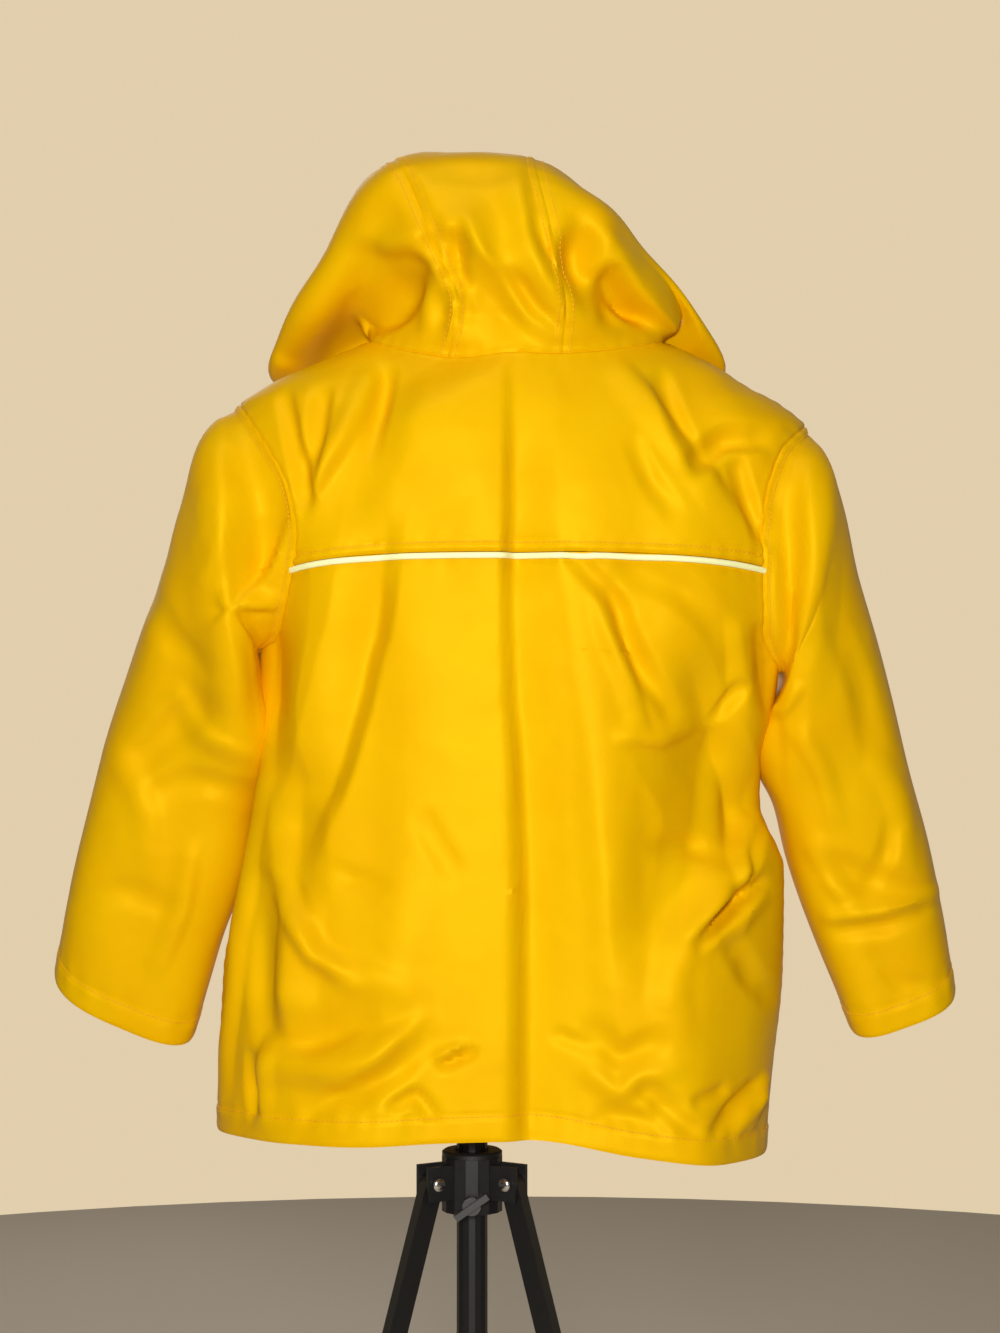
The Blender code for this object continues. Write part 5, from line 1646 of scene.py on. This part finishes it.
@dataclass
class Sleeve:
    """A sleeve: rings from the armhole down to the cuff."""

    side: Side
    surface: BodySurface
    stitching: Stitching
    fine: int = 7  # fine cells per coarse row
    rows: int = 16  # coarse rows
    crowded: float = 6.0  # how many fine rows crowd at each end
    fade: float = 0.02  # distance from the armhole over which its folds set in
    cap_rise: float = 0.0004  # how far the gathered cap stands up beside its seam
    cap_at: float = 0.004  # distance of that rise from the seam
    cap_width: float = 0.003  # width of it
    cap_foot: float = -0.6  # how low round the armhole it reaches, from 1 at the tip to -1 at the foot
    folds: tuple[Fold, ...] = SLEEVE_FOLDS + SLEEVE_CREASES
    waviness: Undulation = Undulation(height=0.0007, across=0.04, down=0.09, seed=11)
    hem: HemRelief = HemRelief()  # relief of the cuff
    # Relief of its upper edge.
    armhole: SeamRelief = SeamRelief(dent=0.0010, swell=0.0010, stitch_at=0.0085, stitch_dent=0.0008)

    def loop(self) -> Array:
        """The armhole: tip, back, foot, front.

        Returns:
            (turn, z) pairs.
        """
        edge = -1 if self.side is Side.LEFT else 0
        fine = self.surface.fine
        yoke, back = self.surface.yoke()[:, edge], self.surface.back()[:, edge]
        front = self.surface.front(self.side)[:, -1]
        return np.concatenate([yoke[::-1][:-1], back[:self.surface.back_rows * fine],
                               front[self.surface.side_rows * fine:-1]])

    def rings(self) -> tuple[Array, Array, Array]:
        """The sleeve without its folds.

        Returns:
            The sleeve's rings, the lift of its armhole's points, and how far down each ring is.
        """
        table = SLEEVES[self.side]
        hole = self.surface.laid(self.loop())
        top, foot = hole[0, 2], hole[:, 2].min()
        lift = np.clip((hole[:, 2] - (top + foot) / 2) / ((top - foot) / 2), -1, 1)
        at_back = np.arange(len(hole)) <= int(np.argmin(hole[:, 2]))
        swing = np.arccos(lift) * np.where(at_back, 1, -1)
        across, depth = squared(np.cos(swing), SLEEVE_SQUARE), squared(np.sin(swing), SLEEVE_SQUARE)
        rings = [hole]
        for i in range(table.count):
            outer, inner = (np.array([table[end + "_x"][i], table[end + "_z"][i]])
                            for end in ("outer", "inner"))
            ring = np.empty((len(hole), 3))
            ring[:, [0, 2]] = (outer + inner) / 2 + across[:, None] * (outer - inner) / 2
            ring[:, 1] = table["mid"][i] + depth * np.where(depth > 0, table["back"][i], table["front"][i])
            ring[:, 2] -= depth * table["dip"][i]
            rings.append(ring)
        rings = np.array(rings)
        stops = stops_down(rings)
        stations = stops[-1] * uneven(self.rows * self.fine + 1, self.crowded)
        points = through(stops, rings, stations)
        points[0] += self.surface.tuck(self.loop())
        return points, lift, stations

    def build(self) -> None:
        """Makes the sleeve, with its folds and its cuff."""
        points, lift, stations = self.rings()
        normals = turned_out(grid_normals(points, closed=True), points - points.mean(axis=1, keepdims=True))
        fade = np.clip(stations / self.fade, 0, 1)[:, None]
        rise = (lift_of(self.folds, points, normals) + self.waviness.lift(points)) * fade
        gathered = hump(stations - self.cap_at, self.cap_width)[:, None] * (lift[None] > self.cap_foot)
        points = points + normals * (rise + self.cap_rise * gathered)[..., None]
        cloth = Cloth(f"sleeve_cloth_{self.side.tag}", points, closed=True,
                      reliefs={Edge.FIRST_ROW: self.armhole, Edge.LAST_ROW: self.hem})
        cloth.build(Cut(f"sleeve_{self.side.tag}", flat=(0.38, 0.42), area=0.118, rests_on=("yoke_cloth",)))
        self.stitching.add(cloth.row(Edge.LAST_ROW, self.hem.deep))
        self.stitching.add(cloth.row(Edge.FIRST_ROW, self.armhole.stitch_at))


@dataclass
class Hood:
    """The hood: a centre strip between two sides, sewn to the neckline."""

    surface: BodySurface
    stitching: Stitching
    rows: int = 14  # coarse rows
    foot: float = 0.0095  # half the opening between its corners at the throat
    backwards: float = 1.2  # how far folds push it to the back rather than outwards
    fuller: float = 2.6  # how much more its right flank bulges than its left one
    # Where the cheeks swell to: outwards, and to the back (below zero, the front).
    cheek_way: Pair = (0.6, -0.8)
    inside: float = 1.09  # height of its middle
    forwards: float = 0.02  # how far before the stand's axis the point lies that its pieces face away from
    fade: float = 0.1  # share of its length from the neck over which its folds set in
    folds: tuple[Fold, ...] = HOOD_FOLDS + HOOD_CREASES
    waviness: Undulation = Undulation(height=0.0007, across=0.035, down=0.05, seed=23)
    seam: SeamRelief = SeamRelief(stitch_at=0.0055, dent=0.0008)  # relief of its seams
    neck: SeamRelief = SeamRelief(stitch_dent=0.0, dent=0.0010, swell=0.0010)  # relief of its lower edge
    hem: HemRelief = HemRelief()  # relief of the face edge

    def arch(self, i: int, at: Array, marks: Array) -> Array:
        """One arch of the hood, from its left foot over the crown to its right foot.

        Args:
            i: which row of the table.
            at: fine places along it, in coarse cells.
            marks: which coarse cells its knots stand on.

        Returns:
            Its points.
        """
        row = {name: float(HOOD[name][i]) for name in HOOD.values}
        middle = np.array([row["mid_x"], row["mid_y"], row["mid_z"]])
        knots = [middle]
        for side, reach in ((1, row["left_x"]), (-1, row["right_x"])):
            edge = middle + (side * row["half"], 0, -row["drop"])
            widest = np.array([reach, row["side_y"], row["side_z"]])
            bulge = row["bulge"] * (self.fuller if side < 0 else 1)
            flank = (edge + widest) / 2 + (side * bulge, 0, bulge)
            foot = np.array([side * row["foot"], row["foot_y"], row["foot_z"]])
            swell = np.array([side * self.cheek_way[0], self.cheek_way[1], 0])
            cheek = (foot + widest) / 2 + row["cheek"] * swell
            half = [foot, cheek, widest, flank, edge]
            knots = half + knots if side > 0 else knots + half[::-1]
        knots = np.array(knots)
        chords = stops_along(knots)
        return through(chords, knots, np.interp(at, marks, chords))

    def grid(self) -> tuple[Array, Array]:
        """The whole hood, with its folds.

        Returns:
            Its outer points, rows from the neck seam to the face edge, and its normals.
        """
        surface = self.surface
        left, right = surface.neckline(Side.LEFT)[::-1][:-1], surface.neckline(Side.RIGHT)
        pairs = np.concatenate([left, surface.back_neckline()[::-1], right[1:]])
        seam = surface.laid(pairs)
        near = hump(np.arange(len(seam)), surface.fine)[:, None]
        for end, side in ((seam, 1), (seam[::-1], -1)):
            end += near * np.array([side * self.foot - end[0, 0], 0, 2 * SEAM_GAP])
        neck, collar, strip = surface.front_neck // 2, surface.collar // 2, surface.strip // 2
        cells = neck, neck, collar, collar, strip
        marks = np.cumsum([0, *cells, *cells[::-1]])
        at = np.linspace(0, marks[-1], len(seam))
        rows = np.array([seam, *(self.arch(i, at, marks) for i in range(HOOD.count))])
        stops, places = stops_down(rows), uneven(self.rows * surface.fine + 1)
        points = through(stops, rows, stops[-1] * places)
        normals = self.outwards(points)
        points[0] += surface.tuck(pairs)
        fade = np.clip(places / self.fade, 0, 1)[:, None]
        rise = soften(lift_of(self.folds, points, normals)) * fade
        towards = unit(normals + np.array([0.0, self.backwards, 0.0]))
        points = points + towards * rise[..., None] + normals * (self.waviness.lift(points) * fade)[..., None]
        return points, self.outwards(points)

    def outwards(self, points: Array) -> Array:
        """Normals of the hood, leading out of it.

        Args:
            points: its points.

        Returns:
            The normals.
        """
        normals = grid_normals(points)
        middle = points.shape[1] // 2
        away = points[:, middle] - np.array([STAND_X, 0, self.inside])
        return normals * np.sign((normals[:, middle] * away).sum(axis=-1).mean())

    def build(self) -> None:
        """Makes the centre strip and the two sides."""
        points, normals = self.grid()
        first = (self.surface.front_neck + self.surface.collar) * self.surface.fine
        last = first + self.surface.strip * self.surface.fine
        side_cut, strip_cut = {"flat": (0.24, 0.28), "area": 0.046}, {"flat": (0.10, 0.33), "area": 0.030}
        start, end = Edge.FIRST_COLUMN, Edge.LAST_COLUMN
        for tag, node, columns, seams, cut in (
                ("left", "hood_side_left", np.s_[:, :first + 1], (end,), side_cut),
                ("middle", "hood_centre", np.s_[:, first:last + 1], (start, end), strip_cut),
                ("right", "hood_side_right", np.s_[:, last:], (start,), side_cut)):
            reliefs = dict.fromkeys(seams, self.seam) | {Edge.FIRST_ROW: self.neck, Edge.LAST_ROW: self.hem}
            cloth = Cloth(f"hood_cloth_{tag}", points[columns], reliefs=reliefs, ways=normals[columns],
                          outward=np.array([STAND_X, -self.forwards, self.inside]))
            cloth.build(Cut(node, **cut, rests_on=("yoke_cloth",)))
            for edge in seams:
                self.stitching.add(cloth.row(edge, self.seam.stitch_at))
            self.stitching.add(cloth.row(Edge.LAST_ROW, self.hem.deep))


@dataclass
class Trims:
    """The piping, and the storm strip with its snaps."""

    surface: BodySurface
    stitching: Stitching
    piping_tall: float = 0.0042  # height of the piping that shows
    piping_deep: float = 0.0028  # how far it stands out
    piping_sides: int = 12  # points round it
    piping_off: float = 0.3  # how far off the cloth it lies, as a share of what strips do
    strip_half: float = 0.021  # half the storm strip's width
    strip_thick: float = 0.002  # its wall
    strip_columns: int = 33  # points across it
    strip_neck: float = 0.92  # its width near the throat, as a share
    strip_narrows: float = 0.02  # how far below the throat it gets narrower
    strip_ends: float = 0.004  # how far below the throat it ends
    # Relief of its edges.
    strip_edge: SeamRelief = SeamRelief(dent=0.0007, swell=0.0003, stitch_at=0.0045)
    snap_count: int = 5  # how many snaps close it
    snap_radius: float = 0.0065  # of one cap
    snap_height: float = 0.0026  # of one cap
    snap_from: float = 0.030  # how far the highest snap is below the throat
    snap_to: float = 0.115  # how far the row ends short of the hem, the same way

    def build_piping(self) -> None:
        """Makes the reflective piping that lies under the yoke's edge."""
        seam = self.surface.yoke_seam()
        seam[:, 1] -= self.piping_tall / 2 + SEAM_GAP
        points = self.surface.laid(seam)
        normals = self.surface.normal(self.surface.folded, seam[:, 0], seam[:, 1])
        along = unit(np.gradient(points, axis=0))
        down = unit(np.cross(normals, along))
        middle = points + normals * (self.piping_deep / 2 + LAID_ON * self.piping_off)
        turns = circle(self.piping_sides)
        rings = (middle[:, None] + normals[:, None] * (np.cos(turns) * self.piping_deep / 2)[None, :, None]
                 + down[:, None] * (np.sin(turns) * self.piping_tall / 2)[None, :, None])
        made = tube("piping_tube", rings)
        made.data.materials.append(material(REFLECTIVE))
        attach(made, "coat_on_pole")
        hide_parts("yoke_piping")

    def build_strip(self) -> Cloth:
        """Makes the storm strip over the centre front.

        Returns:
            Its cloth.
        """
        middle = self.surface.front(Side.LEFT)[:, 0]
        places = uneven(self.strip_columns, cells=3) * 2 - 1
        share = np.where(middle[:, 1] < self.surface.throat - self.strip_narrows, 1.0, self.strip_neck)
        x = -self.strip_half * places[None, :] * share[:, None]
        z = np.repeat(middle[:, 1:], x.shape[1], axis=1)
        z[0] += SEAM_GAP
        z[-1] -= self.strip_ends
        grid = np.stack([self.surface.turn_at(x, z, Face.FRONT), z], axis=-1)
        normals = self.surface.normal(self.surface.folded, grid[..., 0], grid[..., 1])
        points = self.surface.laid(grid) + normals * (LAID_ON + self.strip_thick)
        edges = (Edge.FIRST_COLUMN, Edge.LAST_COLUMN)
        cloth = Cloth("storm_strip_cloth", points, outward=COAT_INSIDE, thick=self.strip_thick,
                      reliefs=dict.fromkeys(edges, self.strip_edge))
        cloth.build(Cut("storm_strip", flat=(0.084, 0.50), area=0.021, held="folded",
                        rests_on=("front_cloth_left", "front_cloth_right")), lined=False)
        for edge in edges:
            self.stitching.add(cloth.row(edge, self.strip_edge.stitch_at))
        return cloth

    def build_snaps(self, strip: Cloth) -> None:
        """Makes the snap caps down the storm strip, each turned, with a sunk middle.

        Args:
            strip: the strip's cloth.
        """
        shape = turned_shape("one snap", SNAP_PROFILE, sides=28,
                             radius=self.snap_radius, height=self.snap_height)
        middle = strip.points.shape[1] // 2
        column, ups = strip.points[:, middle], strip.normals[:, middle]
        top, drop = self.surface.throat - self.snap_from, self.surface.throat - self.snap_to - BODY["z"][0]
        heights = top - np.arange(self.snap_count) * drop / (self.snap_count - 1)
        rows = [int(np.argmin(np.abs(column[:, 2] - z))) for z in heights]
        runs = np.tile([1.0, 0.0, 0.0], (len(rows), 1))
        made = Repeater("snaps down a strip").fill(
            "snap_caps", column[rows] + ups[rows] * CLEAR, runs, ups[rows], shape, (1, 1, 1),
            material(SNAP_PLASTIC))
        made.data.set_sharp_from_angle(angle=math.radians(SHARP))
        bpy.data.objects.remove(shape)
        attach(made, "coat_on_pole")
        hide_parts(*(f"snap_{n + 1}" for n in range(self.snap_count)))

    def build(self) -> None:
        """Makes every trim."""
        self.build_piping()
        self.build_snaps(self.build_strip())
        LOG.info("piping, storm strip and %d snaps made", self.snap_count)


def tube(name: str, rings: Array) -> Object:
    """A closed tube, capped at both ends.

    Args:
        name: its name.
        rings: rings of points down it.

    Returns:
        The tube.
    """
    count, sides = rings.shape[:2]
    number = np.arange(count * sides).reshape(count, sides)
    wrap = np.concatenate([number, number[:, :1]], axis=1)
    quads = np.stack([wrap[:-1, :-1], wrap[:-1, 1:], wrap[1:, 1:], wrap[1:, :-1]], axis=-1).reshape(-1, 4)
    faces = quads.tolist() + [number[0][::-1].tolist(), number[-1].tolist()]
    spin = np.cross(rings[1, 0] - rings[0, 0], rings[0, 1] - rings[0, 0])
    if np.dot(spin, rings[0, 0] - rings[0].mean(axis=0)) > 0:
        faces = [face[::-1] for face in faces]
    return mesh_object(name, rings.reshape(-1, 3), faces)


# ---- form and stand
FORM = Table("z half back front", """
base: 600 106 70 70
hip: 640 118 76 76
waist: 745 104 68 70
chest: 860 118 74 74
high chest: 940 134 64 60
shoulder: 980 149 54 48
shoulder edge: 1000 157 52 45
""")
FORM_NECK = Table("z half back front", """
root: 1042.5 74 38 30
low neck: 1052 48 36 32
neck: 1070 38 38 38
high neck: 1140 36 36 36
cap rim: 1164 38 38 38
cap edge: 1177.5 30 30 30
cap top: 1185.2 12 12 12
""")


@dataclass
class DressForm:
    """The limbless form under the coat, in a jersey cover with a turned neck cap."""

    levels: tuple[float, ...] = (1.0150, 1.0250, 1.0380)  # heights at which the coat lies on its shoulders
    depth_share: float = 0.48  # its depth there, as a share of the coat's
    under: float = 0.0030  # how far its surface lies under the coat's outer skin
    sides: int = 96  # points round each ring
    levels_up: int = 150  # how many rings are read between its ends
    chart_girth: float = 0.1  # metres of map for one radian round it

    def sections(self) -> Array:
        """The form's sections.

        Returns:
            Rows of height, half width and depths, from the base to the cap.
        """
        rows = list(zip(*FORM.values.values()))
        for z in self.levels:
            step = 0.001
            slope = float(BODY.read("left", z + step) - BODY.read("left", z - step)) / (2 * step)
            outward = unit(np.array([1.0, -slope]))
            half = float(BODY.read("left", z)) - outward[0] * self.under - STAND_X
            depths = (float(BODY.read(name, z)) * self.depth_share for name in ("back", "front"))
            rows.append((z - outward[1] * self.under, half, *depths))
        return np.array(rows + list(zip(*FORM_NECK.values.values())))

    def build(self) -> None:
        """Makes the form's cover."""
        rows = self.sections()
        stops = stops_along(rows)
        at = np.sort(np.unique(np.concatenate([np.linspace(0, stops[-1], self.levels_up), stops])))
        height, half, back, front = (glide(stops, column, at)[:, None] for column in rows.T)
        turns = circle(self.sides)
        across, depth = squared(np.sin(turns), SQUARE), squared(np.cos(turns), SQUARE)
        rings = np.empty((len(at), self.sides, 3))
        rings[..., 0] = STAND_X + half * across
        rings[..., 1] = depth * np.where(depth > 0, back, front)
        rings[..., 2] = height
        made = tube("form_cover", rings)
        flat = np.stack([np.tile(turns * self.chart_girth, len(at)), np.repeat(at, self.sides)], axis=-1)
        chart_on(made, flat[[loop.vertex_index for loop in made.data.loops]])
        made.data.materials.append(material(JERSEY))
        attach(made, "coat_on_pole")
        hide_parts("dress_form")
        report(made)


@dataclass
class Stand:
    """The tripod: its solids dressed, with rivets and a pole collar."""

    hinge_radius: float = 0.032  # distance of each leg's pin from the axis
    hinge_height: float = 0.474  # height of the pins
    bearings: tuple[float, ...] = (30.0, 150.0, 270.0)  # the legs' bearings, in degrees
    pin_reach: float = 0.0103  # half the length of a pin
    rivet: float = 0.0046  # radius of a rivet's head
    hub_top: float = 0.490  # height of the hub's upper face
    hub_radius: float = 0.0215  # its radius
    bore: float = 0.0118  # radius of the collar's hole round the pole
    collar_tall: float = 0.0042  # height of the collar
    collar_edge: float = 0.003  # height at which its edges start to round off
    collar_wide: float = 0.98  # its radius, as a share of the hub's
    collar_rim: float = 0.90  # the same at its top
    collar_bevel: float = 0.0007  # how much wider its hole is at its top

    def dress(self) -> None:
        """Gives every solid of the stand its finish."""
        looks = {"tripod_hub": HUB_PLASTIC, "pole": STAND_PAINT, "clamp_knob": KNOB_PLASTIC}
        for name in ("left", "right", "front"):
            looks[f"leg_{name}"] = STAND_PAINT
            looks[f"foot_{name}"] = RUBBER
        for name, finish in looks.items():
            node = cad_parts[name]
            node.data.materials.clear()
            node.data.materials.append(material(finish))

    def build_rivets(self) -> None:
        """Domed heads on both ends of every hinge pin."""
        shape = turned_shape("one rivet", RIVET_PROFILE, sides=20, radius=self.rivet, height=self.rivet)
        points, ups, runs = [], [], []
        for bearing in self.bearings:
            turn = Matrix.Rotation(math.radians(bearing), 3, "Z")
            for side in (-1, 1):
                points.append(turn @ Vector((self.hinge_radius, side * (self.pin_reach + CLEAR), 0))
                              + Vector((STAND_X, 0, self.hinge_height)))
                ups.append(turn @ Vector((0, side, 0)))
                runs.append(Vector((0, 0, 1)))
        made = Repeater("rivets on pins").fill(
            "hinge_rivets", np.array(points), np.array(runs), np.array(ups), shape, (1, 1, 1),
            material(STEEL))
        bpy.data.objects.remove(shape)
        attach(made, "hub")

    def build_collar(self) -> None:
        """A ring on top of the hub, round the pole."""
        foot, edge, top = (self.hub_top + rise for rise in (CLEAR, self.collar_edge, self.collar_tall))
        outer, rim = self.hub_radius * self.collar_wide, self.hub_radius * self.collar_rim
        profile = ((outer, foot), (outer, edge), (rim, top),
                   (self.bore + self.collar_bevel, top), (self.bore, edge), (self.bore, foot))
        rings = np.array([[(STAND_X + radius * math.cos(t), radius * math.sin(t), z) for radius, z in profile]
                          for t in circle(count=64)])
        number = np.arange(rings.shape[0] * rings.shape[1]).reshape(rings.shape[:2])
        ahead, up = np.roll(number, -1, axis=0), np.roll(number, -1, axis=1)
        faces = np.stack([number, ahead, np.roll(ahead, -1, axis=1), up], axis=-1).reshape(-1, 4)
        made = mesh_object("hub_collar", rings.reshape(-1, 3), faces, smooth_angle=30)
        made.data.materials.append(material(HUB_PLASTIC))
        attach(made, "hub")

    def build(self) -> None:
        """Dresses the stand and adds its small fittings."""
        self.dress()
        self.build_rivets()
        self.build_collar()
        LOG.info("stand dressed")


# ---- setting
@dataclass(frozen=True)
class Lamp:
    """A soft square light that looks at the coat's chest."""

    name: str
    place: tuple[float, float, float]  # where it stands
    size: float
    share: float  # its power, as a share of the main power
    color: Colour
    aim: tuple[float, float, float] = (0.0, 0.0, 0.85)  # what it looks at

    def build(self, power: float) -> None:
        """Sets it up.

        Args:
            power: the main power.
        """
        light = bpy.data.lights.new(self.name, "AREA")
        light.size, light.energy, light.color = self.size, power * self.share, self.color
        holder = bpy.data.objects.new(self.name, light)
        holder.location = self.place
        holder.rotation_euler = (Vector(self.place) - Vector(self.aim)).to_track_quat("Z", "Y").to_euler()
        bpy.context.scene.collection.objects.link(holder)


LAMPS = (
    Lamp("key", (0.06, 1.86, 0.97), 0.22, 1.88, (1.0, 0.97, 0.92)),
    Lamp("room", (0.3, 1.1, 2.6), 0.9, 0.72, (1.0, 0.98, 0.94)),
    Lamp("front", (0.6, -2.0, 1.7), 1.4, 0.6, (1.0, 0.98, 0.95)),
)


@dataclass
class Studio:
    """The floor, lights and camera."""

    distance: float = 1.8  # from the coat's middle to the camera
    eye: Pair = (0.0035, 0.832)  # the camera's x and height in the coat's own frame
    frame_tall: float = 0.9331  # height of the view at the coat's middle
    floor_radius: float = 2.2  # of the floor's disc
    power: float = 15.0  # of the lamps
    wall: Colour = (0.76, 0.62, 0.42)  # light from beyond the coat's front
    room: Colour = (0.04, 0.036, 0.032)  # light from behind its back
    wall_from: float = -0.85  # how far forward a direction leads where the wall's light is full
    wall_to: float = -0.35  # and where the room's is

    def build_floor(self) -> None:
        """A plain pale disc under the feet."""
        turns = circle(count=96)
        points = [(self.floor_radius * math.cos(t), self.floor_radius * math.sin(t), 0.0) for t in turns]
        floor = mesh_object("floor", points, [range(len(turns))], placed=True)
        floor.data.materials.append(material(FLOOR))

    def build_camera(self) -> None:
        """A level camera behind the coat."""
        camera = bpy.data.cameras.new("camera")
        camera.sensor_fit = "VERTICAL"
        camera.angle_y = 2 * math.atan(self.frame_tall / 2 / self.distance)
        holder = bpy.data.objects.new("camera", camera)
        holder.location = Vector((self.eye[0], self.distance, self.eye[1])) + Vector(SHIFT)
        holder.rotation_euler = (math.pi / 2, 0.0, math.pi)
        bpy.context.scene.collection.objects.link(holder)
        bpy.context.scene.camera = holder

    def build_surroundings(self) -> None:
        """Light all round, brighter from beyond the coat's front, before a plain pale wall."""
        world = bpy.data.worlds.new("studio")
        world.use_nodes = True
        nodes, given = Nodes(world.node_tree), world.node_tree.nodes
        place = nodes.add("ShaderNodeTexCoord")
        parts = nodes.add("ShaderNodeSeparateXYZ", {"Vector": place.outputs["Generated"]})
        spread = nodes.add("ShaderNodeMapRange", {
            "Value": parts.outputs["Y"], "From Min": self.wall_from, "From Max": self.wall_to})
        nodes.feed(given["Background"], {"Color": nodes.ramp(spread.outputs["Result"], self.wall, self.room)})
        seen = nodes.add("ShaderNodeBackground", {"Color": (*self.wall, 1.0)})
        rays = nodes.add("ShaderNodeLightPath")
        mixed = nodes.add("ShaderNodeMixShader", {
            "Fac": rays.outputs["Is Camera Ray"], 1: given["Background"].outputs["Background"],
            2: seen.outputs["Background"]})
        nodes.feed(given["World Output"], {"Surface": mixed.outputs["Shader"]})
        bpy.context.scene.world = world

    def build(self) -> None:
        """Sets up floor, camera, lights and the light all round."""
        self.build_floor()
        self.build_camera()
        for lamp in LAMPS:
            lamp.build(self.power)
        self.build_surroundings()
        bpy.context.scene.view_settings.view_transform = "Standard"
        LOG.info("studio set")


def main() -> None:
    """Builds the coat, the form, the stand and the setting, in that order."""
    logging.basicConfig(level=logging.INFO, format="%(name)s: %(message)s")
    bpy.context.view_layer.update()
    stitching, surface = Stitching(), BodySurface()
    CoatBody(surface, stitching).build()
    for side in Side:
        Sleeve(side, surface, stitching).build()
    Hood(surface, stitching).build()
    Trims(surface, stitching).build()
    thread = stitching.build(material(THREAD))
    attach(thread, "coat_on_pole")
    report(thread)
    DressForm().build()
    Stand().build()
    Studio().build()


if __name__ == "__main__":
    main()
